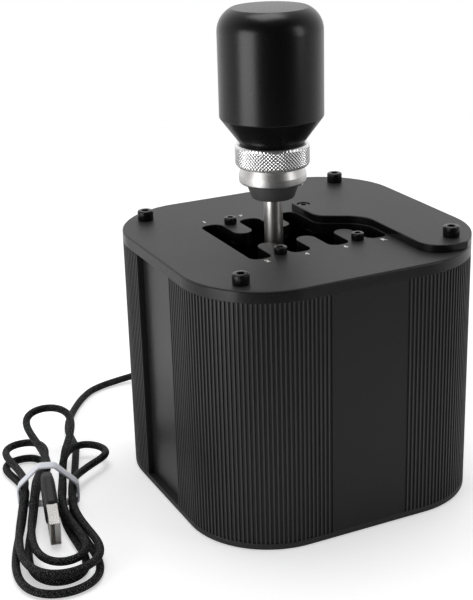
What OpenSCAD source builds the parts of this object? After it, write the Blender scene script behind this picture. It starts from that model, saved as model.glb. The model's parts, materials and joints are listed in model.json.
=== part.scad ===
// Sim racing gear shifter: a gated H-pattern lever in a fluted aluminium housing,
// with its USB lead tied in a hank beside it.
// Millimetres. +Z is up, +X the driver's right, +Y away from the driver.
// The origin is the centre of the underside.

/* [Housing] */
// Width of the housing, left to right
body_w = 130; // [124:1:150]
// Depth of the housing, front to rear
body_d = 130; // [124:1:150]
// Radius of the upright corners
corner_r = 37; // [32:1:40]
// Height of the two extruded shells
shell_h = 105; // [95:1:130]
// Wall of the shells
wall_t = 3; // [2.5:0.1:4]
// Thickness of the base plate
base_t = 3; // [2.5:0.1:6]
// Distance of the corner screws from the housing's faces
screw_inset = 16.5; // [15.5:0.5:18]
// Radius of the screw channels in the corners
boss_r = 5.5; // [5:0.1:6.5]
// Front edge of the side panel's opening, from the centre
open_front = 14.5; // [10:0.5:20]
// Rear edge of the side panel's opening, from the centre
open_rear = 19.5; // [10:0.5:20]
// How far the side panels are set back
recess = 3; // [2.5:0.1:4]
// Thickness of the side panels
panel_t = 2; // [1.5:0.1:3]
// How far a side panel slides into the shells
tongue = 5; // [3:0.5:6]
// Inner lip that holds a side panel
lip_t = 2.5; // [2:0.1:4]
// Width of the plain band on the front and rear faces
band_w = 34.6; // [20:0.2:44]
// Pitch of the flutes round the corners
flute_pitch = 1.85; // [1.6:0.05:3]
// Depth of the flutes
flute_deep = 0.6; // [0.3:0.05:1]
// Chamfer of the gate plate's and base plate's edges
edge_c = 0.6; // [0.3:0.1:1]

/* [Gate] */
// Thickness of the gate plate
gate_t = 5; // [3:0.5:6]
// Distance between the gear columns
pitch = 18.3; // [17:0.1:19]
// Width of a gear slot
slot_w = 9.75; // [9.2:0.05:10.5]
// Distance of the slot ends from the neutral line
slot_end = 26.2; // [25.8:0.1:30]
// Distance of the finger tips from the neutral line
neutral = 8.1; // [6:0.1:10]
// Corner radius of the slot ends
slot_r = 3.8; // [2:0.1:4.4]
// Thickness of the plastic liner under the plate
liner_t = 5; // [4:0.5:8]
// Rim of the liner round the slots
liner_rim = 11; // [8:0.5:11]
// Gate screws, distance from the neutral line
gate_screw_y = 23.8; // [19:0.1:25]

/* [Reverse cover] */
// Thickness of the cover
cover_t = 3.4; // [3.2:0.1:5]
// Set-back of the cover's edge from the gate's wall
cover_back = 0.4; // [0.2:0.1:0.8]
// Radius where the wall turns out of the fifth slot
bend_in = 7; // [4:0.5:9]
// Radius where the wall turns into the reverse slot
bend_out = 14; // [8:0.5:15]
// Angle that the wall turns through
bend_turn = 58.5; // [50:0.5:70]
// Where the wall starts to turn, from the neutral line
bend_from = 9; // [7:0.5:14]
// Rear end of the cover's straight edge
cover_rear = 27.8; // [27:0.1:34]
// Slant of the cover's rear edge
cover_slant = 37.6; // [30:0.2:45]
// Radius of the tab round the front screw
tab_r = 10.8; // [9:0.1:14]
// How far the tab's centre stands behind the front screw
tab_back = 1.5; // [0:0.1:3]

/* [Lever] */
// Diameter of the lever rod
rod_d = 8; // [6:0.1:8.2]
// Height of the rod that shows above the gate plate
rod_show = 17; // [14:0.5:30]
// Height of the lock cone
cone_h = 6.7; // [5:0.1:10]
// Diameter at the foot of the lock cone
cone_d = 18; // [14:0.1:20]
// Diameter at the top of the lock cone
cone_top_d = 22.9; // [20:0.1:26]
// Height of the collar
collar_h = 7.5; // [5:0.1:12]
// Diameter of the collar
collar_d = 28.5; // [26:0.1:30]
// Height of the knurled ring
ring_h = 8.1; // [6:0.1:12]
// Diameter of the knurled ring
ring_d = 31.1; // [29:0.1:36]
// Diameter at the foot of the knob
knob_foot_d = 28; // [24:0.1:34]
// Largest diameter of the knob
knob_d = 43.7; // [38:0.1:50]
// Height of the knob's tapered foot
knob_taper_h = 12.6; // [8:0.1:18]
// Height of the knob's straight grip
knob_grip_h = 35; // [25:0.5:50]
// Radius of the knob's shoulder
knob_shoulder_r = 10.4; // [8:0.1:14]
// Angle that the shoulder sweeps before the flat top
knob_sweep = 65; // [50:1:80]
// Depth of the rod in the knob
rod_in_knob = 34; // [20:1:44]

/* [Mechanism] */
// Height of the lever's pivot
pivot_h = 54; // [50:0.5:56]
// Rock of the lever each way
shift_angle = 20; // [15:0.5:20]
// Diameter of the pivot pin
pin_d = 5; // [4:0.1:6]
// Radius of the hub round the pivot
hub_r = 8.5; // [7.5:0.1:9]
// Width of the hub along the pivot
hub_w = 12; // [10:0.5:14]
// Radius of the hub's neck round the rod
neck_r = 7; // [6:0.1:7.5]
// Top of the neck above the pivot
neck_h = 18; // [15:0.5:22]
// Foot of the rod above the pivot
rod_seat = 6.5; // [6:0.1:8]
// Radius of the hub's foot round the striker
foot_r = 5.5; // [4.5:0.1:6]
// Foot of the hub below the pivot
foot_h = 11; // [10:0.5:13]
// Diameter of the striker
striker_d = 6; // [5:0.1:7]
// Reach of the striker below the pivot
striker_reach = 28; // [24:0.5:30]
// Depth of the striker in the hub
striker_in = 5; // [4:0.5:6]
// Width of the carriage along its slide
carriage_w = 20; // [18:0.5:23]
// Height of the carriage
carriage_h = 14; // [13:0.5:16]
// Diameter of the guide rods
guide_d = 6; // [5:0.1:7]
// Distance of the guide rods from the centre line
guide_y = 18; // [17:0.5:22]
// Outer diameter of the bushes
bush_d = 9; // [8.2:0.1:10]
// Flange diameter of the bushes
bush_flange_d = 12; // [11:0.1:13]
// Flange thickness of the bushes
bush_flange_t = 1; // [0.8:0.1:1.5]
// Length of a bush inside the carriage
bush_l = 8; // [5:0.5:9]
// Wall of the carriage round the bushes
carriage_rim = 2; // [1.5:0.1:4]
// Thickness of the end blocks
block_t = 8; // [7:0.5:9]
// Gap between an end block and the shells' lips
block_gap = 3.5; // [3:0.1:4]
// Radius of the end blocks' lugs round the guide rods
lug_r = 7; // [6:0.1:8]
// Half width of an end block's foot
block_foot = 27; // [24:0.5:32]
// Mean diameter of the centring springs
spring_d = 8.6; // [8.4:0.1:10]
// Wire of the centring springs
spring_wire = 0.9; // [0.7:0.1:0.9]
// Curls of a left-hand spring
left_curls = 6; // [4:1:6]
// Curls of a right-hand spring
right_curls = 7; // [5:1:7]
// Diameter of the detent ball
ball_d = 3; // [2.6:0.1:3.1]
// Diameter of the detent plunger's body
detent_d = 4; // [3.9:0.1:4.2]
// How far the detent plunger stands out of the carriage
detent_out = 4; // [3:0.5:6]
// Distance of the detent from the pivot
detent_r = 6.6; // [6.5:0.1:6.8]

/* [Switches] */
// Thickness of the switch board
board_t = 1.6; // [1:0.1:2.4]
// Gap between the striker and the board
striker_gap = 2; // [1.5:0.1:4]
// Front edge of the board from the centre line
board_front = 24; // [22:0.5:26]
// Rear edge of the board from the centre line
board_rear = 31; // [28:0.5:36]
// Inset of the board's screws
board_inset = 3.5; // [3:0.1:4.5]
// Micro switch width
switch_w = 12.8; // [11:0.1:14]
// Micro switch depth
switch_d = 6.5; // [6:0.1:7]
// Micro switch height
switch_h = 5.8; // [5:0.1:6.5]
// Gap between the striker at full rock and a plunger
plunger_gap = 0.4; // [0.3:0.1:1]
// How far a plunger stands out of its switch
plunger_out = 1.6; // [1.3:0.1:2]
// Travel of a plunger
plunger_travel = 1; // [0.5:0.1:1.2]
// Width of a plunger
plunger_w = 2.6; // [2:0.1:4]
// Length of a plunger
plunger_l = 4; // [3.5:0.1:4.5]
// Side of the controller chip
chip_w = 7; // [5:0.5:8]
// Width of the cord header
header_w = 8; // [6:0.5:10]
// Height of the cord header
header_h = 6; // [5:0.5:8]

/* [Fasteners] */
// Corner and base screw diameter
screw_d = 4; // [3:0.1:5]
// Corner screw head diameter
screw_head_d = 7; // [6:0.1:8.5]
// Corner screw head height
screw_head_h = 4.4; // [3:0.1:5]
// Reach of a corner screw below the gate plate
screw_reach = 14; // [10:0.5:30]
// Base screw length
base_screw_l = 14; // [10:0.5:24]
// Gate screw diameter
small_d = 3; // [2.5:0.1:3.4]
// Gate screw head diameter
small_head_d = 5.5; // [5:0.1:6]
// Gate screw head height
small_head_h = 3; // [2:0.1:3]
// Clearance round a screw in a plate
screw_gap = 0.2; // [0.1:0.05:0.4]
// Spacing of the mounting holes in the base
mount_span = 60; // [50:1:66]
// Diameter of the tapped mounting holes
mount_d = 5; // [4:0.1:6]

/* [Cord] */
// Diameter of the cord
cord_d = 3.4; // [3:0.1:3.6]
// Radius of the gland in the shell
gland_r = 4; // [3.5:0.1:5]
// Length of the gland's boot outside the shell
boot_l = 18; // [16:0.5:20]
// Length of the hank's longest front loop
loop_l = 72; // [68:0.5:76]
// Half width of the hank's longest front loop
loop_w = 9.8; // [9.4:0.1:10.6]
// How much shorter a loop is than the loop round it
loop_step = 8.5; // [8:0.1:10]
// Length of the hank's tallest rear loop
bow_l = 52; // [48:0.5:56]
// Half width of the hank's tallest rear loop
bow_w = 8.4; // [7.8:0.1:8.8]
// Gap between the cord's strands in the hank
strand_gap = 1.1; // [1:0.05:1.3]
// Rise of the strands over the tie
hank_rise = 1.6; // [1.5:0.1:2]
// Width of the tie
tie_w = 5; // [3:0.1:5.4]
// Thickness of the tie
tie_t = 1; // [0.8:0.1:1.2]
// Plug body: length
plug_l = 22; // [18:0.5:26]
// Plug body: thickness
plug_t = 6.2; // [5.8:0.1:6.4]
// Plug body: width
plug_w = 14; // [13:0.1:15]
// Plug body: length of its tapered neck
plug_neck_l = 6.6; // [4:0.1:9]
// Plug body: width where the cord goes in
plug_neck_w = 10.5; // [8:0.1:12]
// Plug shell: length
plug_shell_l = 12; // [10:0.5:14]
// Plug shell: thickness
plug_shell_t = 4.5; // [4:0.1:5]
// Plug shell: width
plug_shell_w = 12; // [10:0.1:12.5]
// Wall of the plug shell
plug_wall = 0.4; // [0.3:0.1:0.6]

/* [Hidden] */
$fn = 64;
// clearance of fixed fits, running fits and soft pieces
fit = 0.05;
run_fit = 0.03;
soft_gap = 0.35;
neck_gap = 0.8;
side_gap = 0.6;
seat_gap = 0.2;
// how far a screw's end stays inside the piece that it is screwed into
end_gap = 0.5;
// how far a cutter runs past the face that it cuts
over = 1;

half_w = body_w / 2;
half_d = body_d / 2;
screw_x = half_w - screw_inset;
screw_y = half_d - screw_inset;
gate_z = base_t + shell_h;
top_z = gate_z + gate_t;
cover_z = top_z + cover_t;
// gear columns from left to right, and the column where the lever rests
columns = [for (i = [0:3]) (i - 1.5) * pitch];
rest_x = columns[1];
finger_r = (pitch - slot_w) / 2;
fingers = [for (i = [0:2]) (columns[i] + columns[i + 1]) / 2];
// gate screws sit in the roots of the outer fingers
gate_screw_x = fingers[2];
// wall of the gate and cover on the right: out of slot 5, across, into the reverse slot
wall_from_x = columns[2] + slot_w / 2;
wall_to_x = columns[3] + slot_w / 2;

// lever stack above the gate plate
cone_z = top_z + rod_show;
collar_z = cone_z + cone_h;
ring_z = collar_z + collar_h;
knob_z = ring_z + ring_h;
grip_z = knob_z + knob_taper_h;
shoulder_z = grip_z + knob_grip_h;
knob_top = shoulder_z + knob_shoulder_r * sin(knob_sweep);

// depth of the shells' lips behind the side panels
lip_in = recess + panel_t + fit + lip_t;

// mechanism
block_x = half_w - lip_in - block_gap - block_t;
carriage_half_d = guide_y + bush_d / 2 + carriage_rim;
neck_open = carriage_h / 2 * tan(shift_angle) + neck_r / cos(shift_angle) + neck_gap;
flange_x = carriage_w / 2 + bush_flange_t;
grub_h = (rod_seat + neck_h) / 2 + 1;
// retaining rings, their grooves and the pin's ends beyond them
clip_t = 0.8;
clip_d = pin_d + 3.5;
groove_d = pin_d - 1;
pin_l = carriage_w + 5 * clip_t;
clip_x = carriage_w / 2 + clip_t / 2 + fit;
// the detent ball stands clear of the hub's end, opposite one of three dimples
ball_x = hub_w / 2 + side_gap / 2 + ball_d / 2;
dimple_d = ball_d + 1.2;

// switch board, and where a switch's plunger and face stand
board_z = pivot_h - striker_reach - striker_gap;
board_screw_x = columns[3] + switch_w / 2 + small_head_d / 2 + 2 * screw_gap;
board_half_w = board_screw_x + board_inset;
board_head_h = 2.1;
standoff_tap = 8;
strike = striker_reach * sin(shift_angle) + striker_d / 2 * cos(shift_angle);
plunger_y = strike + plunger_gap;
switch_y = plunger_y + plunger_out;
plunger_z = board_z + switch_h / 2;
header_z = board_z + header_h / 2;
header_rear = board_rear - 1;
chip_t = 1.2;
chip_edge = 1.5;
// play of a plunger in its switch, and the switch's two rivet holes
plunger_play = 0.1;
rivet_d = 1.6;
rivet_in = 1.6;
rivet_back = 2.9;
// gland flange
gland_in = 2;
gland_rim = 1.5;
boot_wall = 0.7;
gland_tip = half_d + boot_l;

// round caps' hex sockets
hex_r = 0.43;
hex_deep = 0.45;
grub_hex_r = 0.25;

function unit(v) = v / norm(v);
// points of an arc about a centre, from one angle to another
function arc(centre, r, from, to, steps) =
  [for (i = [0:steps]) centre + r * [cos(from + (to - from) * i / steps),
                                     sin(from + (to - from) * i / steps)]];
// direction of a path at one of its points
function heading(path, i) =
  i == 0 ? unit(path[1] - path[0]) :
  i == len(path) - 1 ? unit(path[i] - path[i - 1]) :
  unit(unit(path[i + 1] - path[i]) + unit(path[i] - path[i - 1]));

// a round tube along a path; across is a direction that the path never takes
module tube(path, r, sides, across) {
  last = len(path) - 1;
  points = [for (i = [0:last])
    let (t = heading(path, i), n = unit(cross(across, t)), b = cross(t, n))
    for (k = [0:sides - 1]) path[i] + r * (cos(360 * k / sides) * n + sin(360 * k / sides) * b)];
  skin = [for (i = [0:last - 1], k = [0:sides - 1])
    let (a = i * sides + k, b = i * sides + (k + 1) % sides)
    each [[a, a + sides, b + sides], [a, b + sides, b]]];
  caps = [for (k = [1:sides - 2])
    each [[0, k, k + 1], [last * sides, last * sides + k + 1, last * sides + k]]];
  polyhedron(points, concat(skin, caps));
}

// plan of the housing, drawn in by a distance
module plan(inset = 0) {
  r = corner_r - inset;
  square([body_w - 2 * inset, body_d - 2 * corner_r], center = true);
  square([body_w - 2 * corner_r, body_d - 2 * inset], center = true);
  for (x = [-1, 1], y = [-1, 1])
    translate([x * (half_w - corner_r), y * (half_d - corner_r)]) circle(r, $fn = 128);
}

module at_corners() {
  for (x = [-1, 1], y = [-1, 1]) translate([x * screw_x, y * screw_y, 0]) children();
}

// one slot corner to corner, with rounded ends
module slot(x) {
  translate([x, 0]) {
    square([slot_w, 2 * (slot_end - slot_r)], center = true);
    square([slot_w - 2 * slot_r, 2 * slot_end], center = true);
    for (a = [-1, 1], b = [-1, 1])
      translate([a * (slot_w / 2 - slot_r), b * (slot_end - slot_r)]) circle(slot_r);
  }
}

// the curved wall between the fifth slot and reverse, from the rear to the front
function gate_wall(back) =
  let (from_x = wall_from_x + back, to_x = wall_to_x + back,
    rise = 1 - cos(bend_turn),
    run = (to_x - from_x - (bend_in + bend_out) * rise) / sin(bend_turn),
    end_y = bend_from - (bend_in + bend_out) * sin(bend_turn) - run * cos(bend_turn))
  concat(arc([from_x + bend_in, bend_from], bend_in, 180, 180 + bend_turn, 12),
    arc([to_x - bend_out, end_y], bend_out, bend_turn, 0, 16));

// everything to the right of the curved wall
module beyond_wall(back, rear, front) {
  polygon(concat([[wall_from_x + back, rear]], gate_wall(back),
    [[wall_to_x + back, front], [half_w + over, front], [half_w + over, rear]]));
}

module gate_opening() {
  difference() {
    union() {
      for (x = columns) slot(x);
      translate([columns[0], -neutral - finger_r])
        square([columns[3] - columns[0], 2 * (neutral + finger_r)]);
    }
    for (x = fingers, y = [-1, 1]) translate([x, y * (neutral + finger_r)]) circle(finger_r);
    beyond_wall(0, body_d, -body_d);
  }
}

module gate_screw_places(list = [[-1, -1], [-1, 1], [1, -1], [1, 1]]) {
  for (p = list) translate([p[0] * gate_screw_x, p[1] * gate_screw_y, 0]) children();
}

// a plate of the housing's plan with a chamfered upper edge
module chamfered_plate(t) {
  section = [[0, 0], [half_w, 0], [half_w, t - edge_c], [half_w - edge_c, t], [0, t]];
  corner = [[0, 0], [corner_r, 0], [corner_r, t - edge_c], [corner_r - edge_c, t], [0, t]];
  for (side = [0, 1]) mirror([side, 0, 0])
    rotate([90, 0, 0]) linear_extrude(body_d - 2 * corner_r, center = true) polygon(section);
  for (side = [0, 1]) mirror([0, side, 0]) rotate([90, 0, 90])
    linear_extrude(body_w - 2 * corner_r, center = true)
      polygon([for (p = section) [p[0] == 0 ? 0 : p[0] + half_d - half_w, p[1]]]);
  for (x = [-1, 1], y = [-1, 1])
    translate([x * (half_w - corner_r), y * (half_d - corner_r), 0])
      rotate_extrude($fn = 128) polygon(corner);
}

// hole and head seat of a flush base screw
module flush_hole() {
  translate([0, 0, -over]) cylinder(h = base_t + 2 * over, d = screw_d + 2 * screw_gap);
  cylinder(h = screw_d / 2, r1 = screw_d + screw_gap, r2 = screw_d / 2 + screw_gap);
}

module flush_screw() {
  difference() {
    union() {
      cylinder(h = base_screw_l, d = screw_d);
      cylinder(h = screw_d / 2, r1 = screw_d, r2 = screw_d / 2);
    }
    translate([0, 0, -over]) cylinder(h = over + screw_d * hex_deep, r = screw_d * hex_r, $fn = 6);
  }
}

// a socket head cap screw whose head stands on z = 0
module cap_screw(d, head_d, head_h, reach) {
  difference() {
    union() {
      translate([0, 0, -reach]) cylinder(h = reach + head_h / 2, d = d);
      cylinder(h = head_h, d = head_d);
    }
    translate([0, 0, head_h * (1 - hex_deep)]) cylinder(h = head_h, r = d * hex_r, $fn = 6);
  }
}

module at_blocks() {
  for (x = [-1, 1], y = [-1, 1])
    translate([x * (block_x + block_t / 2), y * (block_foot - lug_r), 0]) children();
}

module base_plate() {
  color("#2c2c2e") difference() {
    translate([0, 0, base_t]) mirror([0, 0, 1]) chamfered_plate(base_t);
    at_corners() flush_hole();
    at_blocks() flush_hole();
    for (x = [-1, 1], y = [-1, 1])
      translate([x * mount_span / 2, y * mount_span / 2, -over])
        cylinder(h = base_t + 2 * over, d = mount_d);
  }
}

// share of a flute's pitch that is its flat crest, and that is each of its slopes
flute_land = 0.3;
flute_slope = 0.15;
// outline of one fluted corner, from the side panel's edge to the plain band
function corner_at(s, deep, edge) =
  let (side = half_d - corner_r - edge, bend = PI / 2 * corner_r, a = (s - side) / corner_r * 180 / PI)
  s < side ? [half_w - deep, edge + s] :
  s < side + bend ? [half_w - corner_r, half_d - corner_r] + (corner_r - deep) * [cos(a), sin(a)] :
  [half_w - corner_r - (s - side - bend), half_d - deep];
function fluted_corner(edge) =
  let (whole = half_d - corner_r - edge + PI / 2 * corner_r + half_w - corner_r - band_w / 2,
    count = floor(whole / flute_pitch), step = whole / count)
  concat([for (i = [0:count - 1])
    each [corner_at(i * step, 0, edge), corner_at((i + flute_land) * step, 0, edge),
      corner_at((i + flute_land + flute_slope) * step, flute_deep, edge),
      corner_at((i + 1 - flute_slope) * step, flute_deep, edge)]],
    [[band_w / 2, half_d]]);

// section of a shell that closes the +Y half, open towards the side panels
module shell_section(edge) {
  right = fluted_corner(edge);
  left = [for (i = [len(right) - 1:-1:0]) [-right[i][0], right[i][1]]];
  difference() {
    union() {
      difference() {
        polygon(concat(right, left));
        plan(wall_t);
      }
      for (x = [-1, 1]) {
        translate([x * (half_w - (lip_in + flute_deep) / 2), edge + (tongue + lip_t) / 2])
          square([lip_in - flute_deep, tongue + lip_t], center = true);
        translate([x * screw_x, screw_y]) circle(boss_r);
      }
    }
    for (x = [-1, 1]) {
      translate([x * (half_w - recess - panel_t / 2), edge])
        square([panel_t + 2 * fit, 2 * (tongue + fit)], center = true);
      translate([x * screw_x, screw_y]) circle(d = screw_d + 2 * fit);
    }
  }
}

module front_shell() {
  color("#1d1d1f") translate([0, 0, base_t]) mirror([0, 1, 0])
    linear_extrude(shell_h) shell_section(open_front);
}

module rear_shell() {
  color("#1d1d1f") difference() {
    translate([0, 0, base_t]) linear_extrude(shell_h) shell_section(open_rear);
    translate([0, half_d + over, header_z]) rotate([90, 0, 0])
      cylinder(h = wall_t + 2 * over, r = gland_r);
  }
}

module side_panel() {
  translate([half_w - recess - panel_t, -open_front - tongue, base_t])
    cube([panel_t, open_front + open_rear + 2 * tongue, shell_h]);
}

module left_panel() {
  color("#5a5a5c") mirror([1, 0, 0]) side_panel();
}

module right_panel() {
  color("#5a5a5c") side_panel();
}

module gate_plate() {
  color("#3a3a3c") translate([0, 0, gate_z]) difference() {
    chamfered_plate(gate_t);
    translate([0, 0, -over]) linear_extrude(gate_t + 2 * over) gate_opening();
    at_corners() translate([0, 0, -over]) cylinder(h = gate_t + 2 * over, d = screw_d + 2 * screw_gap);
    gate_screw_places() translate([0, 0, -over])
      cylinder(h = gate_t + 2 * over, d = small_d + 2 * screw_gap);
  }
}

module gate_liner() {
  reach_x = wall_to_x + liner_rim;
  reach_y = slot_end + liner_rim;
  color("#101011") translate([0, 0, gate_z - liner_t]) difference() {
    linear_extrude(liner_t) difference() {
      union() {
        square([2 * reach_x, 2 * (reach_y - liner_rim)], center = true);
        square([2 * (reach_x - liner_rim), 2 * reach_y], center = true);
        for (x = [-1, 1], y = [-1, 1])
          translate([x * (reach_x - liner_rim), y * (reach_y - liner_rim)]) circle(liner_rim);
      }
      gate_opening();
    }
    gate_screw_places() translate([0, 0, -over])
      cylinder(h = liner_t + 2 * over, d = small_d + 2 * fit);
  }
}

module reverse_cover() {
  left = wall_from_x + cover_back;
  right = wall_to_x + cover_back;
  tab_y = -screw_y + tab_back;
  rear = half_d + over;
  color("#3f3f41") translate([0, 0, top_z]) difference() {
    linear_extrude(cover_t) intersection() {
      plan();
      union() {
        polygon(concat([[left, cover_rear]], gate_wall(cover_back),
          [[right, tab_y], [half_w + over, tab_y], [half_w + over, rear],
            [left + (rear - cover_rear) * tan(cover_slant), rear]]));
        translate([right + tab_r, tab_y]) circle(tab_r);
        translate([right + tab_r, tab_y - tab_r]) square([half_w, tab_r]);
      }
    }
    for (y = [-1, 1]) translate([screw_x, y * screw_y, -over])
      cylinder(h = cover_t + 2 * over, d = screw_d + 2 * screw_gap);
    gate_screw_places([[1, 1]]) translate([0, 0, -over])
      cylinder(h = cover_t + 2 * over, d = small_head_d + 2 * screw_gap);
  }
}

module corner_screws() {
  color("#151516") for (x = [-1, 1], y = [-1, 1]) {
    seat = x > 0 ? cover_z : top_z;
    translate([x * screw_x, y * screw_y, seat])
      cap_screw(screw_d, screw_head_d, screw_head_h, seat - gate_z + screw_reach);
  }
}

module gate_screws() {
  color("#151516") gate_screw_places() translate([0, 0, top_z])
    cap_screw(small_d, small_head_d, small_head_h, gate_t + liner_t - end_gap);
}

module base_screws() {
  color("#151516") {
    at_corners() flush_screw();
    at_blocks() flush_screw();
  }
}

// an end block on the +X side: foot, web and a lug round each guide rod
module end_block() {
  translate([block_x, 0, 0]) difference() {
    rotate([90, 0, 90]) linear_extrude(block_t) {
      polygon([[-block_foot, base_t], [block_foot, base_t], [block_foot, base_t + base_screw_l],
        [guide_y + lug_r, pivot_h - lug_r], [guide_y + lug_r, pivot_h], [guide_y, pivot_h],
        [guide_y - lug_r, pivot_h - lug_r], [-guide_y + lug_r, pivot_h - lug_r],
        [-guide_y, pivot_h], [-guide_y - lug_r, pivot_h], [-guide_y - lug_r, pivot_h - lug_r],
        [-block_foot, base_t + base_screw_l]]);
      for (y = [-1, 1]) translate([y * guide_y, pivot_h]) circle(lug_r);
    }
    for (y = [-1, 1]) {
      translate([-over, y * guide_y, pivot_h]) rotate([0, 90, 0])
        cylinder(h = block_t + 2 * over, d = guide_d + 2 * fit);
      translate([block_t / 2, y * guide_y, pivot_h])
        cylinder(h = lug_r + over, d = small_d + 2 * fit);
      translate([block_t / 2, y * (block_foot - lug_r), base_t - over])
        cylinder(h = base_screw_l + over, d = screw_d + 2 * fit);
    }
  }
}

module left_end_block() {
  color("#26262a") mirror([1, 0, 0]) end_block();
}

module right_end_block() {
  color("#26262a") end_block();
}

module guide_rods() {
  color("#8f9194") for (y = [-1, 1])
    translate([-block_x - block_t, y * guide_y, pivot_h]) rotate([0, 90, 0])
      cylinder(h = 2 * (block_x + block_t), d = guide_d);
}

// a headless screw with its socket at the top
module grub_screw(length) {
  difference() {
    cylinder(h = length, d = small_d);
    translate([0, 0, length / 2]) cylinder(h = length, r = small_d * grub_hex_r, $fn = 6);
  }
}

module rod_grub_screws() {
  color("#151516") for (x = [-1, 1], y = [-1, 1])
    translate([x * (block_x + block_t / 2), y * guide_y, pivot_h + guide_d / 2 + fit])
      grub_screw(lug_r - guide_d / 2 - end_gap);
}

// a coil spring along X about a guide rod
module spring(from_x, to_x, y, curls) {
  first = from_x + spring_wire / 2 + seat_gap;
  length = to_x - from_x - spring_wire - 2 * seat_gap;
  rings = 8 * curls;
  tube([for (i = [0:rings]) let (a = 360 * i * curls / rings)
    [first + length * i / rings, y + spring_d / 2 * cos(a), pivot_h + spring_d / 2 * sin(a)]],
    spring_wire / 2, 6, [1, 0, 0]);
}

module left_springs() {
  color("#a8aaad") for (y = [-1, 1]) spring(-block_x, rest_x - flange_x, y * guide_y, left_curls);
}

module right_springs() {
  color("#a8aaad") for (y = [-1, 1]) spring(rest_x + flange_x, block_x, y * guide_y, right_curls);
}

module carriage() {
  color("#232326") translate([rest_x, 0, pivot_h]) difference() {
    union() {
      cube([carriage_w, 2 * guide_y, carriage_h], center = true);
      for (y = [-1, 1]) translate([0, y * guide_y, 0]) rotate([0, 90, 0])
        cylinder(h = carriage_w, r = carriage_half_d - guide_y, center = true);
    }
    cube([hub_w + 2 * side_gap, 2 * neck_open, carriage_h + 2 * over], center = true);
    for (y = [-1, 1]) translate([0, y * guide_y, 0]) rotate([0, 90, 0])
      cylinder(h = carriage_w + 2 * over, d = bush_d + 2 * fit, center = true);
    rotate([0, 90, 0]) cylinder(h = carriage_w + 2 * over, d = pin_d + 2 * fit, center = true);
    translate([0, -detent_r, 0]) rotate([0, 90, 0]) cylinder(h = carriage_w, d = detent_d + 2 * fit);
  }
}

// two flanged bushes to each guide rod
module carriage_bushes() {
  color("#9c7a3c") for (x = [0, 1], y = [-1, 1])
    translate([rest_x, y * guide_y, pivot_h]) mirror([x, 0, 0]) rotate([0, 90, 0]) difference() {
      union() {
        translate([0, 0, carriage_w / 2 - bush_l]) cylinder(h = bush_l, d = bush_d);
        translate([0, 0, carriage_w / 2]) cylinder(h = bush_flange_t, d = bush_flange_d);
      }
      cylinder(h = carriage_w, d = guide_d + 2 * run_fit);
    }
}

module pivot_pin() {
  color("#8f9194") translate([rest_x, 0, pivot_h]) rotate([0, 90, 0]) difference() {
    cylinder(h = pin_l, d = pin_d, center = true);
    for (z = [-1, 1]) translate([0, 0, z * clip_x]) difference() {
      cylinder(h = clip_t + 2 * fit, d = pin_d + over, center = true);
      cylinder(h = clip_t + 2 * over, d = groove_d, center = true);
    }
  }
}

// open rings in the grooves of the pivot pin
module retaining_rings() {
  color("#6f7174") for (x = [-1, 1])
    translate([rest_x + x * clip_x, 0, pivot_h]) rotate([0, 90, 0])
      linear_extrude(clip_t, center = true) difference() {
        circle(d = clip_d);
        circle(d = groove_d + 2 * fit);
        translate([clip_d / 2, 0]) square([clip_d, groove_d * 0.75], center = true);
      }
}

// a spring plunger screwed into the carriage's right wall, with its ball towards the hub
module detent_plunger() {
  from_x = hub_w / 2 + side_gap;
  to_x = carriage_w / 2 + detent_out;
  color("#55575a") translate([rest_x, -detent_r, pivot_h]) rotate([0, 90, 0]) difference() {
    translate([0, 0, from_x]) cylinder(h = to_x - from_x, d = detent_d);
    translate([0, 0, to_x - detent_out / 2]) cylinder(h = detent_out, r = detent_d * grub_hex_r, $fn = 6);
    translate([0, 0, ball_x]) sphere(d = ball_d + 2 * seat_gap);
  }
}

module detent_ball() {
  color("#c8cacc") translate([rest_x + ball_x, -detent_r, pivot_h]) sphere(d = ball_d);
}

module lever_hub() {
  color("#2b2b2e") translate([rest_x, 0, pivot_h]) difference() {
    union() {
      rotate([0, 90, 0]) cylinder(h = hub_w, r = hub_r, center = true);
      intersection() {
        union() {
          cylinder(h = neck_h, r = neck_r);
          translate([0, 0, -foot_h]) cylinder(h = foot_h, r = foot_r);
        }
        cube([hub_w, 4 * hub_r, 4 * neck_h], center = true);
      }
    }
    rotate([0, 90, 0]) cylinder(h = hub_w + 2 * over, d = pin_d + 2 * run_fit, center = true);
    translate([0, 0, rod_seat]) cylinder(h = neck_h, d = rod_d + 2 * fit);
    translate([0, 0, -foot_h - over]) cylinder(h = striker_in + over, d = striker_d + 2 * fit);
    for (a = [-1, 0, 1]) rotate([a * shift_angle, 0, 0])
      translate([ball_x, -detent_r, 0]) sphere(d = dimple_d);
    translate([0, 0, grub_h]) rotate([-90, 0, 0]) cylinder(h = neck_r + over, d = small_d + 2 * fit);
  }
}

module hub_grub_screw() {
  color("#151516") translate([rest_x, rod_d / 2 + 2 * fit, pivot_h + grub_h]) rotate([-90, 0, 0])
    grub_screw(neck_r - rod_d / 2 - end_gap);
}

module lever_rod() {
  color("#b9bbbe") translate([rest_x, 0, pivot_h + rod_seat])
    cylinder(h = knob_z + rod_in_knob - pivot_h - rod_seat, d = rod_d);
}

module striker() {
  round = striker_d / 4;
  color("#c8cacc") translate([rest_x, 0, pivot_h - striker_reach]) rotate_extrude()
    polygon([[0, 0], [striker_d / 2 - round, 0], [striker_d / 2, round],
      [striker_d / 2, striker_reach - foot_h + striker_in], [0, striker_reach - foot_h + striker_in]]);
}

// a turned piece of the lever stack with the rod's bore up its middle
module turned(z, bore_h) {
  translate([rest_x, 0, z]) difference() {
    rotate_extrude($fn = 128) children();
    translate([0, 0, -over]) cylinder(h = bore_h + over, d = rod_d + 2 * fit);
  }
}

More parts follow.
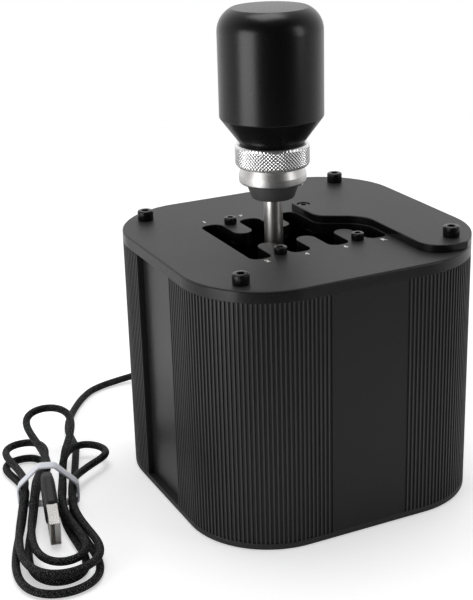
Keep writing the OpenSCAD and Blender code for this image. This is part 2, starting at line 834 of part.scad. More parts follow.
module lock_cone() {
  color("#4a4a4d") turned(cone_z, cone_h + over)
    polygon([[0, 0], [cone_d / 2, 0], [cone_top_d / 2, cone_h], [0, cone_h]]);
}

module collar() {
  cut = (collar_d - cone_top_d) / 2;
  color("#d3d4d6") turned(collar_z, collar_h + over)
    polygon([[0, 0], [cone_top_d / 2, 0], [collar_d / 2, cut], [collar_d / 2, collar_h], [0, collar_h]]);
}

module knurled_ring() {
  cut = 0.8;
  color("#dcdddf") turned(ring_z, ring_h + over)
    polygon([[0, 0], [ring_d / 2 - cut, 0], [ring_d / 2, cut], [ring_d / 2, ring_h - cut],
      [ring_d / 2 - cut, ring_h], [0, ring_h]]);
}

module knob() {
  r = knob_d / 2;
  color("#1a1a1b") turned(knob_z, rod_in_knob + fit) {
    polygon([[0, 0], [knob_foot_d / 2, 0], [r, knob_taper_h], [r, knob_taper_h + knob_grip_h],
      [0, knob_taper_h + knob_grip_h]]);
    intersection() {
      union() {
        translate([r - knob_shoulder_r, knob_taper_h + knob_grip_h]) circle(knob_shoulder_r, $fn = 128);
        translate([0, knob_taper_h + knob_grip_h]) square([r - knob_shoulder_r, knob_shoulder_r]);
      }
      translate([0, knob_taper_h + knob_grip_h - over])
        square([r, over + knob_top - shoulder_z]);
    }
  }
}

module board_places() {
  for (x = [-1, 1], y = [-board_front + board_inset, board_rear - board_inset])
    translate([x * board_screw_x, y, 0]) children();
}

module switch_board() {
  color("#14301f") difference() {
    translate([-board_half_w, -board_front, board_z - board_t])
      cube([2 * board_half_w, board_front + board_rear, board_t]);
    board_places() translate([0, 0, board_z - board_t - over])
      cylinder(h = board_t + 2 * over, d = small_d + 2 * screw_gap);
  }
}

module board_standoffs() {
  color("#b0975a") board_places() difference() {
    translate([0, 0, base_t]) cylinder(h = board_z - board_t - base_t, d = small_d * 2, $fn = 6);
    translate([0, 0, board_z - board_t - standoff_tap])
      cylinder(h = standoff_tap + over, d = small_d + 2 * fit);
  }
}

module board_screws() {
  color("#8f9194") board_places() translate([0, 0, board_z])
    cap_screw(small_d, small_head_d, board_head_h, board_t + standoff_tap - 4 * end_gap);
}

// switch of one gear: column 0 to 3, side -1 for 1, 3 and 5, and 1 for 2, 4, 6 and reverse
module at_switch(column, side) {
  translate([columns[column], 0, 0]) mirror([0, side < 0 ? 1 : 0, 0]) children();
}

module micro_switch() {
  pocket_l = plunger_l - plunger_out + plunger_travel + 2 * plunger_play;
  pocket_w = plunger_w + 2 * plunger_play;
  difference() {
    translate([-switch_w / 2, switch_y, board_z]) cube([switch_w, switch_d, switch_h]);
    translate([-pocket_w / 2, switch_y - over, plunger_z - pocket_w / 2])
      cube([pocket_w, pocket_l + over, pocket_w]);
    for (x = [-1, 1])
      translate([x * (switch_w / 2 - rivet_in), switch_y + switch_d - rivet_back, board_z - over])
        cylinder(h = switch_h + 2 * over, d = rivet_d);
  }
}

module micro_switches() {
  color("#1b1b1d") {
    for (c = [0:2]) at_switch(c, -1) micro_switch();
    for (c = [0:3]) at_switch(c, 1) micro_switch();
  }
}

module plunger(column, side) {
  color("#b23a2a") at_switch(column, side)
    translate([-plunger_w / 2, plunger_y, plunger_z - plunger_w / 2])
      cube([plunger_w, plunger_l, plunger_w]);
}

module controller_chip() {
  color("#101011") translate([-pitch - chip_w / 2, board_rear - chip_w - chip_edge, board_z])
    cube([chip_w, chip_w, chip_t]);
}

module cord_header() {
  color("#e6e4dc") translate([-header_w / 2, header_rear - header_w, board_z])
    cube([header_w, header_w, header_h]);
}

module inner_lead() {
  color("#161617") translate([0, header_rear, header_z]) rotate([-90, 0, 0])
    cylinder(h = half_d - wall_t - gland_in - header_rear, d = cord_d);
}

module cord_gland() {
  flange_r = gland_r + gland_rim;
  color("#121213") translate([0, half_d, header_z]) rotate([-90, 0, 0]) rotate_extrude()
    polygon([[0, -wall_t - gland_in], [flange_r, -wall_t - gland_in], [flange_r, -wall_t],
      [gland_r - fit, -wall_t], [gland_r - fit, 0], [flange_r, 0], [flange_r, gland_in],
      [gland_r, gland_in], [cord_d / 2 + boot_wall, boot_l], [0, boot_l]]);
}

// The hank lies on the floor to the left. It has its own frame: u along it, v to its right.
hank_at = [-half_w - 47.2, 19.5];
hank_angle = 69;
function from_hank(p) = [hank_at[0] + p[0] * cos(hank_angle) + p[1] * sin(hank_angle),
  hank_at[1] + p[0] * sin(hank_angle) - p[1] * cos(hank_angle), p[2]];
floor_z = cord_d / 2 + 0.05;
layer = cord_d + strand_gap;
function layer_z(i) = floor_z + layer * i;
// plug: where its body starts, how far its nose points down, and how far it turns to the right
plug_at = [-4.5, 0, 14.6];
plug_down = 14;
plug_turn = 8;
plug_axis = [-cos(plug_down) * cos(plug_turn), cos(plug_down) * sin(plug_turn), -sin(plug_down)];
// places of the strands under the tie, as v and height: two rows on each side of the plug
waist_in = (plug_t + cord_d) / 2 + strand_gap;
waist_out = waist_in + layer;
waist_u = 3;
low_row = layer_z(0) + hank_rise;
high_row = layer_z(1) + hank_rise;
tail_row = plug_at[2] + cord_d / 2;
// how far from the tie a loop reaches its own layer, and rings to a loop
settle_l = 18;
lobe_rings = 18;
function ramp(x) = let (t = min(max(x, 0), 1)) t * t * (3 - 2 * t);
// a loop out from the tie and back: it swells towards its tip, and its middle line bends by turn
function lobe_ring(t, way, from, to, l, w, turn, i, rise) =
  let (out = l * sin(180 * t), half = (from[0] - to[0]) / 2, bend = turn * sin(180 * t),
    r = l * 180 / (turn * PI), start_z = t < 0.5 ? from[1] : to[1],
    c = half * cos(180 * t) + 1.3 * sign(half) * w * sin(360 * t) * sin(180 * t))
  [way * (waist_u + (r - c) * sin(bend)), (from[0] + to[0]) / 2 + r * (1 - cos(bend)) + c * cos(bend),
    start_z + (layer_z(i) - start_z) * ramp(out / settle_l) + rise * pow(sin(180 * t), 2)];
function front_lobe(from, to, l, w, turn, i) =
  [for (k = [0:lobe_rings]) lobe_ring(k / lobe_rings, -1, from, to, l, w, turn, i, 0)];
function rear_lobe(from, to, l, w, turn, i, rise) =
  [for (k = [0:lobe_rings]) lobe_ring(k / lobe_rings, 1, from, to, l, w, turn, i, rise)];
// each front loop inside another is shorter and slimmer than it, and each row's bend their own way
slim = 2.4;
short = 7;
low_bend = 18;
high_bend = 24;
hank_in = [for (u = [46, 42, 34, 26, 18, 10])
  [u, waist_out, floor_z + hank_rise * (1 - ramp(u / settle_l))]];
hank_line = concat(hank_in,
  front_lobe([waist_out, low_row], [-waist_out, low_row], loop_l, loop_w, low_bend, 0),
  rear_lobe([-waist_out, low_row], [-waist_in, low_row], 0.76 * bow_l, 0.86 * bow_w, -21, 0, 0),
  front_lobe([-waist_in, low_row], [waist_in, low_row], loop_l - loop_step, loop_w - slim, low_bend, 0),
  rear_lobe([waist_in, low_row], [waist_out, high_row], 0.8 * bow_l, 0.9 * bow_w, 34, 1, 0),
  front_lobe([waist_out, high_row], [-waist_out, high_row], loop_l - short, loop_w - 1, high_bend, 1),
  rear_lobe([-waist_out, high_row], [-waist_in, high_row], 0.9 * bow_l, 0.9 * bow_w, -17, 1, 0),
  front_lobe([-waist_in, high_row], [waist_in, high_row], loop_l - short - loop_step,
    loop_w - 1 - slim, high_bend, 1),
  [[0, waist_in, high_row]]);
hank_path = [for (p = hank_line) from_hank(p)];

// least gap of the hank to itself, measured between points along its stretches
probe = [for (i = [0:len(hank_path) - 2], s = [0, 0.25, 0.5, 0.75])
  (1 - s) * hank_path[i] + s * hank_path[i + 1]];
hank_gap = min([for (i = [0:len(probe) - 1], j = [i + lobe_rings:1:len(probe) - 1])
  norm(probe[i] - probe[j])]) - cord_d;
echo(hank_least_gap = hank_gap);

// the lead's route: out of the gland, down behind the housing and over the floor to the hank
lead_fall = [[-1, 10, 26], [-4, 18, 22.5], [-9, 26, 17.2], [-15, 33, 11.4], [-22, 38.2, 6.6],
  [-30, 41.4, 3.6], [-39, 42.5, 2.2], [-48, 41.2, floor_z], [-55.5, 37.8, floor_z], [-62, 32, floor_z],
  [-68.5, 24, floor_z], [-74.5, 15, floor_z], [-79.2, 6, floor_z], [-82.2, -3, floor_z],
  [-83.4, -12, floor_z]];
lead_path = concat([[0, gland_tip, header_z], [0, gland_tip + cord_d, header_z]],
  [for (p = lead_fall) [p[0], gland_tip + p[1], p[2]]],
  [from_hank(hank_in[0] + [cord_d, 0, 0]), hank_path[0]]);
// the tail's route: from under the tie round the tallest loop and over the tie to the plug
tail_path = [for (p = concat([[0, waist_in, high_row]],
  rear_lobe([waist_in, high_row], [0, tail_row], bow_l, bow_w, -14, 3, 6),
  [plug_at - cord_d * plug_axis, plug_at])) from_hank(p)];

module cord_lead() {
  color("#19191a") tube(lead_path, cord_d / 2, 8, [0, 0, 1]);
}

module cord_hank() {
  color("#19191a") tube(hank_path, cord_d / 2, 6, [0, 0, 1]);
}

module cord_tail() {
  color("#19191a") tube(tail_path, cord_d / 2, 8, [0, 0, 1]);
}

module in_hank() {
  translate([hank_at[0], hank_at[1], 0]) rotate([0, 0, hank_angle]) children();
}

// a flat strip tied round the waist, peaked over the tail
module cable_tie() {
  side = waist_out + cord_d / 2 + soft_gap;
  low = low_row - cord_d / 2 - soft_gap;
  shoulder = high_row + cord_d / 2 + soft_gap;
  tail_top = tail_row + cord_d / 2 + 2 * soft_gap;
  inner = [[-side, low], [side, low], [side, shoulder], [cord_d, tail_top], [-cord_d, tail_top],
    [-side, shoulder]];
  color("#f2f2f2") in_hank() rotate([90, 0, 90]) linear_extrude(tie_w, center = true) difference() {
    offset(delta = tie_t) polygon(inner);
    polygon(inner);
  }
}

// frame of the plug: +Z runs from its tail to its nose
module at_plug() {
  in_hank() translate([plug_at[0], -plug_at[1], plug_at[2]])
    rotate([0, -90 - plug_down, plug_turn]) children();
}

module plug_body() {
  round_d = plug_w + 0.8;
  color("#141415") at_plug() intersection() {
    translate([0, 0, plug_l / 2]) cube([plug_w, plug_t, plug_l], center = true);
    union() {
      translate([0, 0, plug_neck_l]) cylinder(h = plug_l, d = round_d);
      cylinder(h = plug_neck_l, d1 = plug_neck_w, d2 = round_d);
    }
  }
}

module plug_shell() {
  window = 2.2;
  color("#c9cacb") at_plug() translate([0, 0, plug_l]) difference() {
    translate([-plug_shell_w / 2, -plug_shell_t / 2, 0]) cube([plug_shell_w, plug_shell_t, plug_shell_l]);
    translate([-plug_shell_w / 2 + plug_wall, -plug_shell_t / 2 + plug_wall, plug_wall])
      cube([plug_shell_w - 2 * plug_wall, plug_shell_t - 2 * plug_wall, plug_shell_l]);
    for (x = [-1, 1]) translate([x * (window / 2 + over), 0, plug_shell_l / 2])
      cube([window, plug_shell_t + 2 * over, window], center = true);
  }
}

module plug_tongue() {
  back = 1.2;
  color("#f0f0ee") at_plug()
    translate([-plug_shell_w / 2 + plug_wall, -plug_shell_t / 2 + plug_wall, plug_l + plug_wall])
      cube([plug_shell_w - 2 * plug_wall, (plug_shell_t - 2 * plug_wall) / 2, plug_shell_l - back]);
}

base_plate();
front_shell();
rear_shell();
left_panel();
right_panel();
gate_plate();
gate_liner();
reverse_cover();
corner_screws();
gate_screws();
base_screws();
left_end_block();
right_end_block();
guide_rods();
rod_grub_screws();
left_springs();
right_springs();
carriage();
carriage_bushes();
pivot_pin();
retaining_rings();
detent_plunger();
detent_ball();
lever_hub();
hub_grub_screw();
lever_rod();
striker();
lock_cone();
collar();
knurled_ring();
knob();
switch_board();
board_standoffs();
board_screws();
micro_switches();
controller_chip();
cord_header();
inner_lead();
cord_gland();
plunger(0, -1);  // plunger_1
plunger(0, 1);  // plunger_2
plunger(1, -1);  // plunger_3
plunger(1, 1);  // plunger_4
plunger(2, -1);  // plunger_5
plunger(2, 1);  // plunger_6
plunger(3, 1);  // plunger_r
cord_lead();
cord_hank();
cord_tail();
cable_tie();
plug_body();
plug_shell();
plug_tongue();
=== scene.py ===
import json
from math import cos, pi, radians, sin

import bmesh
import bpy
import numpy as np
from mathutils import Matrix, Vector


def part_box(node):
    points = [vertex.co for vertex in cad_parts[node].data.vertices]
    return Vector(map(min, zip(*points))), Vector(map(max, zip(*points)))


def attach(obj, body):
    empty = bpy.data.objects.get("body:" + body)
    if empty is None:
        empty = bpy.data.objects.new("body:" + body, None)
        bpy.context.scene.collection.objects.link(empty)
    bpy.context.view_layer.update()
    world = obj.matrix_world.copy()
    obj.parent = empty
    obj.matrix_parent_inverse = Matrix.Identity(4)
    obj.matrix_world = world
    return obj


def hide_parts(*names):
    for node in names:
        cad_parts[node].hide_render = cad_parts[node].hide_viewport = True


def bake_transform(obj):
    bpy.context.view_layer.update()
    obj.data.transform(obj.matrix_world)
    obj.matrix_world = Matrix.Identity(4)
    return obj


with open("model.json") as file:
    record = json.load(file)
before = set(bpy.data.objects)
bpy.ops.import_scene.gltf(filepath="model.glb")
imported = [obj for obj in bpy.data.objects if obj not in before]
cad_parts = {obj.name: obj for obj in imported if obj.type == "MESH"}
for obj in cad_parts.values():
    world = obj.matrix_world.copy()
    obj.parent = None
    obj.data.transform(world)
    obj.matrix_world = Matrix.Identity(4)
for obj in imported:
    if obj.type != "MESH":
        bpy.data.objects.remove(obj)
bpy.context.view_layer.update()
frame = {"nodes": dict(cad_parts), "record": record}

# Looks of a gated gear shifter. Metres, +Z up, +X the driver's right, +Y away from the driver.
MM = 0.001
SCENE = bpy.context.scene
RECORD = frame["record"]
SLOT_OF = {row["node"]: row["material_slot"] for row in RECORD["subparts"]}
BODY_OF = {node: body for body, nodes in RECORD["behaviour"]["bodies"].items() for node in nodes}

# Camera, at the photograph's viewing angle

CAMERA_AT = Vector((-258.5, -487.9, 289.8)) * MM
CAMERA_AIM = Vector((8.88, 77.35, 54.24)) * MM
CAMERA_ROLL = radians(-1.65)
CAMERA_LENS = 80.5
ahead = (CAMERA_AIM - CAMERA_AT).normalized()
level = ahead.cross(Vector((0, 0, 1))).normalized()
upright = level.cross(ahead)
right = cos(CAMERA_ROLL) * level + sin(CAMERA_ROLL) * upright
up = cos(CAMERA_ROLL) * upright - sin(CAMERA_ROLL) * level
camera = bpy.data.objects.new("camera", bpy.data.cameras.new("camera"))
camera.data.lens = CAMERA_LENS
camera.data.clip_start = 10 * MM
camera.matrix_world = Matrix((right, up, -ahead)).transposed().to_4x4()
camera.matrix_world.translation = CAMERA_AT
SCENE.collection.objects.link(camera)
SCENE.camera = camera


# Shader maths

class Wire:
    """A shader value. Sums and products of wires add Math nodes, and node() adds any other kind."""

    def __init__(self, tree, socket=None):
        self.tree = tree
        self.socket = socket

    def node(self, kind, settings=None, inputs=None, output=0):
        """Adds a node: its settings first, with a ramp's stops as (place, colour), then its sockets."""
        made = self.tree.nodes.new("ShaderNode" + kind)
        for key, value in (settings or {}).items():
            if key == "stops":
                while len(made.color_ramp.elements) < len(value):
                    made.color_ramp.elements.new(1)
                for stop, (place, colour) in zip(made.color_ramp.elements, value):
                    stop.position = place
                    stop.color = colour
            else:
                setattr(made, key, value)
        for key, value in (inputs or {}).items():
            if isinstance(value, Wire):
                self.tree.links.new(value.socket, made.inputs[key])
            else:
                made.inputs[key].default_value = value
        return Wire(self.tree, made.outputs[output])

    def math(self, operation, first, second=0.0):
        """A Math node on one or two values."""
        return self.node("Math", {"operation": operation}, {0: first, 1: second})

    def clamped(self, low, high):
        """0 below low, 1 above high and an even slope between."""
        return self.node("MapRange", {"clamp": True}, {"Value": self, "From Min": low, "From Max": high})

    def __add__(self, other):
        return self.math("ADD", self, other)

    def __sub__(self, other):
        return self.math("SUBTRACT", self, other)

    def __rsub__(self, other):
        return self.math("SUBTRACT", other, self)

    def __mul__(self, other):
        return self.math("MULTIPLY", self, other)

    def __truediv__(self, other):
        return self.math("DIVIDE", self, other)

    __radd__ = __add__
    __rmul__ = __mul__


def colour(r, g=None, b=None):
    """A colour with its alpha: one number is a grey."""
    return (r, r if g is None else g, r if b is None else b, 1)


def mix(amount, low, high):
    """A colour between two colours."""
    return amount.node("Mix", {"data_type": "RGBA"}, {0: amount, 6: low, 7: high}, 2)


def noise(wire, where, scale, detail=2.0, rough=0.5):
    """Soft noise from 0 to 1 at so many cells to the metre."""
    return wire.node("TexNoise", None,
                     {"Vector": where, "Scale": scale, "Detail": detail, "Roughness": rough})


def stretched(wire, where, x, y, z):
    """Coordinates stretched along each axis, so that a pattern runs in lines."""
    return wire.node("Mapping", None, {"Vector": where, "Scale": (x, y, z)})


class Finish:
    """A material with one Principled shader, its own coordinates and a fine bump."""

    def __init__(self, name, **fixed):
        self.material = bpy.data.materials.new(name)
        self.material.use_nodes = True
        self.tree = self.material.node_tree
        self.shader = self.tree.nodes["Principled BSDF"]
        self.wire = Wire(self.tree)
        self.where = self.wire.node("TexCoord", None, None, "Object")
        self.set(**fixed)

    def set(self, **values):
        """Sets the shader's sockets, named in small letters, to plain values or wires."""
        for key, value in values.items():
            socket = self.shader.inputs[key.replace("_", " ").title().replace("Ior", "IOR")]
            if isinstance(value, Wire):
                self.tree.links.new(value.socket, socket)
            else:
                socket.default_value = value

    def bump(self, height, depth):
        """Raises the surface by height, from 0 to 1, times a depth in metres."""
        self.set(normal=self.wire.node("Bump", None, {"Height": height, "Distance": depth, "Strength": 1.0}))

    def separate(self, vector):
        """The three parts of a vector."""
        return [self.wire.node("SeparateXYZ", None, {"Vector": vector}, axis) for axis in "XYZ"]


# Finishes. Scales are in cells to the metre, and colours are linear.

BLAST_GRAIN = 1500
BLAST_DEPTH = 0.012 * MM
EDGE_FROM = 0.5 * MM
EDGE_TO = 0.3 * MM


def anodised(name, dark, light, rough, grain=BLAST_GRAIN, depth=BLAST_DEPTH, top=None, **fixed):
    """Blasted and dyed aluminium: an even fine tooth, with faint cloudy changes of tone and gloss.
    Below its top face, where one is given, a plate's sides and slot walls are painted near black as painted
    shade, and are made shinier."""
    made = Finish(name, **{"specular_ior_level": 0.5, **fixed})
    tooth = noise(made.wire, made.where, grain, 3.0, 0.6)
    cloud = noise(made.wire, made.where, 14, 3.0, 0.55)
    speck = noise(made.wire, made.where, grain / 3, 1.0).clamped(0.68, 0.78)
    tone = (cloud * 0.6 + tooth * 0.4).clamped(0.25, 0.75)
    shade = mix(tone, colour(*dark), colour(*light))
    gloss = rough + (cloud - 0.5) * 0.12 + (tooth - 0.5) * 0.08 - speck * 0.06
    if top is not None:
        height = made.separate(made.where)[2]
        edge = 1 - height.clamped(top - EDGE_FROM, top - EDGE_TO)
        # painted shade: below the top face the plate's sides and slot walls are painted near black
        shade = mix(edge, shade, colour(0.006))
        gloss = gloss - edge * 0.22
    made.set(base_color=shade, roughness=gloss)
    made.bump(tooth, depth)
    return made.material


def fluted(name):
    """Anodised flutes: the crests are painted paler, a painted highlight, and are smoother; the bottoms of
    the flutes keep the black base colour, so they read as painted shade.
    """
    made = Finish(name, specular_ior_level=0.4)
    crest = made.wire.node("Attribute", {"attribute_name": "crest"}, None, "Fac").clamped(0.7, 1.0)
    tooth = noise(made.wire, made.where, BLAST_GRAIN, 3.0, 0.6)
    cloud = noise(made.wire, made.where, 24, 3.0, 0.55)
    # painted highlight: the crests of the flutes are painted paler, in cloudy patches, than the bottoms of
    # the flutes
    wear_and_highlight = crest * (0.55 + cloud * 0.6).clamped(0, 1)
    base = mix(tooth, colour(0.008), colour(0.012, 0.012, 0.013))
    made.set(base_color=mix(wear_and_highlight, base, colour(0.06, 0.059, 0.058)))
    made.set(roughness=0.46 - wear_and_highlight * 0.12 + (tooth - 0.5) * 0.08)
    made.bump(tooth, BLAST_DEPTH)
    return made.material


def turned_metal(name, dark, light, rough, ring=5200, depth=0.002 * MM, knurled=False):
    """Lathe-turned bright metal: fine rings round the axis, and soft stains. A knurl's grooves are painted
    dark, as painted shade.
    """
    made = Finish(name, metallic=0.9 if knurled else 1.0)
    rings = noise(made.wire, stretched(made.wire, made.where, 0.02, 0.02, 1), ring, 2.0, 0.7)
    stain = noise(made.wire, made.where, 60, 3.0)
    shade = mix((rings * 0.5 + stain * 0.5).clamped(0.3, 0.7), colour(*dark), colour(*light))
    if knurled:
        crest = made.wire.node("Attribute", {"attribute_name": "crest"}, None, "Fac")
        # painted shade: the knurl's grooves are painted dark grey
        shade = mix(crest.clamped(0, 0.25), colour(0.3), shade)
    made.set(base_color=shade, roughness=rough + (rings - 0.5) * 0.06 + (stain - 0.5) * 0.06)
    made.bump(rings, depth)
    return made.material


def drawn_metal(name, dark, light, rough, along, depth=0.004 * MM):
    """Ground or drawn metal: fine lines along one axis, and soft stains."""
    made = Finish(name, metallic=1.0)
    lines = noise(made.wire, stretched(made.wire, made.where, *along), 3500, 2.0, 0.7)
    stain = noise(made.wire, made.where, 80, 3.0)
    made.set(base_color=mix((lines * 0.6 + stain * 0.4).clamped(0.3, 0.7), colour(*dark), colour(*light)))
    made.set(roughness=rough + (lines - 0.5) * 0.12 + (stain - 0.5) * 0.1)
    made.bump(lines, depth)
    return made.material


def moulded(name, dark, light, rough, grain=2600, depth=0.01 * MM):
    """Moulded plastic or rubber: a spark-eroded grain with slightly shinier hollows."""
    made = Finish(name, specular_ior_level=0.45)
    grit = noise(made.wire, made.where, grain, 2.0, 0.6)
    cloud = noise(made.wire, made.where, 70, 2.0)
    made.set(base_color=mix((grit * 0.5 + cloud * 0.5).clamped(0.3, 0.7), colour(*dark), colour(*light)))
    made.set(roughness=rough + (grit - 0.5) * 0.16 + (cloud - 0.5) * 0.08)
    made.bump(grit, depth)
    return made.material


def black_oxide(name):
    """Oiled black steel: nearly black, with oily patches and paler rubbed grain."""
    made = Finish(name, metallic=0.6, specular_ior_level=0.5)
    patch = noise(made.wire, made.where, 420, 3.0)
    wear_and_highlight = noise(made.wire, made.where, 2400, 2.0).clamped(0.6, 0.8)
    made.set(base_color=mix(wear_and_highlight, colour(0.016, 0.016, 0.017), colour(0.06, 0.058, 0.056)))
    made.set(roughness=0.22 + (patch - 0.5) * 0.16)
    made.bump(patch, 0.01 * MM)
    return made.material


def circuit_board(name):
    """Green lacquer over copper: squared tracks show as paler, raised lines."""
    made = Finish(name, specular_ior_level=0.5)
    block = made.wire.node("TexVoronoi", {"distance": "MANHATTAN"}, {"Vector": made.where, "Scale": 260.0})
    track = block.clamped(0.42, 0.5) * (1 - block.clamped(0.58, 0.66))
    lacquer = noise(made.wire, made.where, 90, 2.0)
    made.set(base_color=mix(track, colour(0.008, 0.045, 0.02), colour(0.02, 0.1, 0.04)))
    made.set(roughness=0.28 + (lacquer - 0.5) * 0.1 + track * 0.06)
    made.bump(track, 0.02 * MM)
    return made.material


BRAID_CARRIERS = 12
BRAID_LAY = 4.0
BRAID_DEPTH = 0.12 * MM


def braided(name):
    """A black sleeve of two sets of strands that wind opposite ways and pass over and under."""
    made = Finish(name, specular_ior_level=0.15)
    uv = made.wire.node("UVMap")
    round_it, along, _ = made.separate(uv)
    first = round_it * BRAID_CARRIERS + along / BRAID_LAY * BRAID_CARRIERS
    second = round_it * BRAID_CARRIERS - along / BRAID_LAY * BRAID_CARRIERS

    def strand(turn):
        """Height across a strand: 1 at its middle, 0 between two strands."""
        return 1 - made.wire.math("ABSOLUTE", made.wire.math("FRACT", turn) * 2 - 1)

    swap = made.wire.math("FRACT", (first + second) / 4).clamped(0.45, 0.55)
    weave = strand(first) * swap + strand(second) * (1 - swap)
    fleck = noise(made.wire, made.where, 1500, 2.0)
    shine = weave.clamped(0.55, 0.95) * fleck.clamped(0.42, 0.62)
    made.set(base_color=mix(shine, colour(0.002), colour(0.17, 0.17, 0.175)))
    made.set(roughness=0.6 - shine * 0.2)
    made.bump(weave, BRAID_DEPTH)
    return made.material


def printed(name):
    """White screen-printed ink: dense, with a faint grain."""
    made = Finish(name, specular_ior_level=0.3)
    grain = noise(made.wire, made.where, 3000, 2.0)
    made.set(base_color=mix(grain.clamped(0.3, 0.7), colour(0.9, 0.9, 0.89), colour(0.96, 0.96, 0.95)))
    made.set(roughness=0.6 + (grain - 0.5) * 0.2)
    made.bump(grain, 0.004 * MM)
    return made.material


def top_of(node):
    """The height of a node's top face."""
    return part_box(node)[1].z


PLATE_TOP = top_of("gate_plate")
COVER_TOP = top_of("reverse_cover")
PLATE_TONE = {"dark": (0.016, 0.016, 0.017), "light": (0.022, 0.022, 0.023), "rough": 0.48}
FINISHES = {
    "plate": anodised("plate_black", **PLATE_TONE),
    "shell": fluted("shell_black"),
    "panel": anodised("panel_black", (0.018, 0.018, 0.019), (0.023, 0.023, 0.024), 0.36,
                      specular_ior_level=0.85),
    "liner": moulded("liner_black", (0.0015,), (0.003,), 0.14),
    "screw": black_oxide("screw_black"),
    "block": anodised("block_black", (0.012, 0.012, 0.013), (0.018, 0.018, 0.019), 0.45),
    "ground_steel": drawn_metal("ground_steel", (0.42, 0.42, 0.43), (0.56, 0.56, 0.57), 0.24, (0.02, 1, 1)),
    "spring": drawn_metal("spring_wire", (0.3, 0.3, 0.31), (0.42, 0.42, 0.43), 0.32, (1, 1, 1)),
    "bronze": turned_metal("sintered_bronze", (0.34, 0.22, 0.09), (0.48, 0.33, 0.15), 0.45),
    "rod": drawn_metal("polished_rod", (0.84, 0.81, 0.78), (0.95, 0.93, 0.9), 0.32, (1, 1, 0.03)),
    "cone": anodised("cone_grey", (0.15, 0.15, 0.153), (0.19, 0.19, 0.193), 0.66, metallic=0.9),
    "bright": turned_metal("bright_turned", (0.72, 0.71, 0.7), (0.82, 0.81, 0.8), 0.4),
    "knob": anodised("knob_black", (0.0022,), (0.0034,), 0.3, 2200, 0.004 * MM, specular_ior_level=0.45),
    "board": circuit_board("board_green"),
    "standoff": turned_metal("standoff_brass", (0.5, 0.36, 0.14), (0.66, 0.5, 0.24), 0.3),
    "switch": moulded("switch_black", (0.008,), (0.014,), 0.5),
    "plunger": moulded("plunger_red", (0.35, 0.03, 0.02), (0.48, 0.05, 0.03), 0.4),
    "header": moulded("header_ivory", (0.6, 0.57, 0.5), (0.7, 0.67, 0.6), 0.5),
    "cord": braided("cord_braid"),
    "boot": moulded("boot_black", (0.006,), (0.011,), 0.5),
    "tie": moulded("tie_white", (0.83, 0.85, 0.93), (0.9, 0.92, 0.98), 0.4, 900, 0.02 * MM),
    "nickel": drawn_metal("nickel_sheet", (0.7, 0.68, 0.65), (0.82, 0.8, 0.77), 0.2, (1, 0.05, 1)),
    "tongue": moulded("tongue_white", (0.66, 0.66, 0.64), (0.76, 0.76, 0.74), 0.5),
}
NODE_FINISHES = {
    # The gate plate and its cover carry painted shade on their sides and slot walls, below their top faces
    "gate_plate": anodised("gate_black", **PLATE_TONE, top=PLATE_TOP),
    "reverse_cover": anodised("cover_black", **PLATE_TONE, top=COVER_TOP),
    "knurled_ring": turned_metal("bright_knurled", (0.93,), (0.98,), 0.26, knurled=True),
}


def finish_of(node):
    """A node's own finish, or else that of its material slot."""
    return NODE_FINISHES.get(node) or FINISHES[SLOT_OF[node]]


# Making pieces

WELD_GAP = 1e-6
FLAT_ANGLE = radians(0.5)
SHARP_ANGLE = radians(40)
# How far the sharp edges of each kind of piece are broken
PLATE_EDGE = 0.3 * MM
FLUTE_EDGE = 0.06 * MM
BLOCK_EDGE = 0.3 * MM
SMALL_EDGE = 0.12 * MM
TONGUE_EDGE = 0.1 * MM
GLAND_EDGE = 0.4 * MM


def piece(name, mesh, node, stands_for=(), sharp=SHARP_ANGLE):
    """Puts a mesh in the scene, finished as a node is, and hides the nodes that it stands for."""
    mesh.materials.clear()
    mesh.materials.append(finish_of(node))
    mesh.shade_smooth()
    mesh.set_sharp_from_angle(angle=sharp)
    made = bpy.data.objects.new(name, mesh)
    SCENE.collection.objects.link(made)
    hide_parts(*(stands_for or [node]))
    return made


def welded(mesh, outwards=True):
    """Merges doubled points, which closes seams and poles, and turns the faces outwards."""
    work = bmesh.new()
    work.from_mesh(mesh)
    bmesh.ops.remove_doubles(work, verts=work.verts, dist=WELD_GAP)
    if outwards:
        bmesh.ops.recalc_face_normals(work, faces=work.faces)
    work.to_mesh(mesh)
    work.free()
    return mesh


def grid_faces(rows, columns, round_rows=False, round_columns=False):
    """The squares between neighbouring points of a grid, closed the ways that go round."""
    i, j = np.meshgrid(np.arange(rows - (not round_rows)), np.arange(columns - (not round_columns)),
                       indexing="ij")
    below, beside = (i + 1) % rows, (j + 1) % columns
    corners = [i * columns + j, i * columns + beside, below * columns + beside, below * columns + j]
    return np.stack(corners, -1).reshape(-1, 4)


def skin(name, grids, round_rows=False, round_columns=True):
    """One mesh of several grids of points, each shaped (rows, columns, 3)."""
    points, faces, start = [], [], 0
    for grid in grids:
        rows, columns = grid.shape[:2]
        points.append(grid.reshape(-1, 3))
        faces.append(grid_faces(rows, columns, round_rows, round_columns) + start)
        start += rows * columns
    mesh = bpy.data.meshes.new(name)
    mesh.from_pydata(np.concatenate(points).tolist(), [], np.concatenate(faces).tolist())
    return mesh


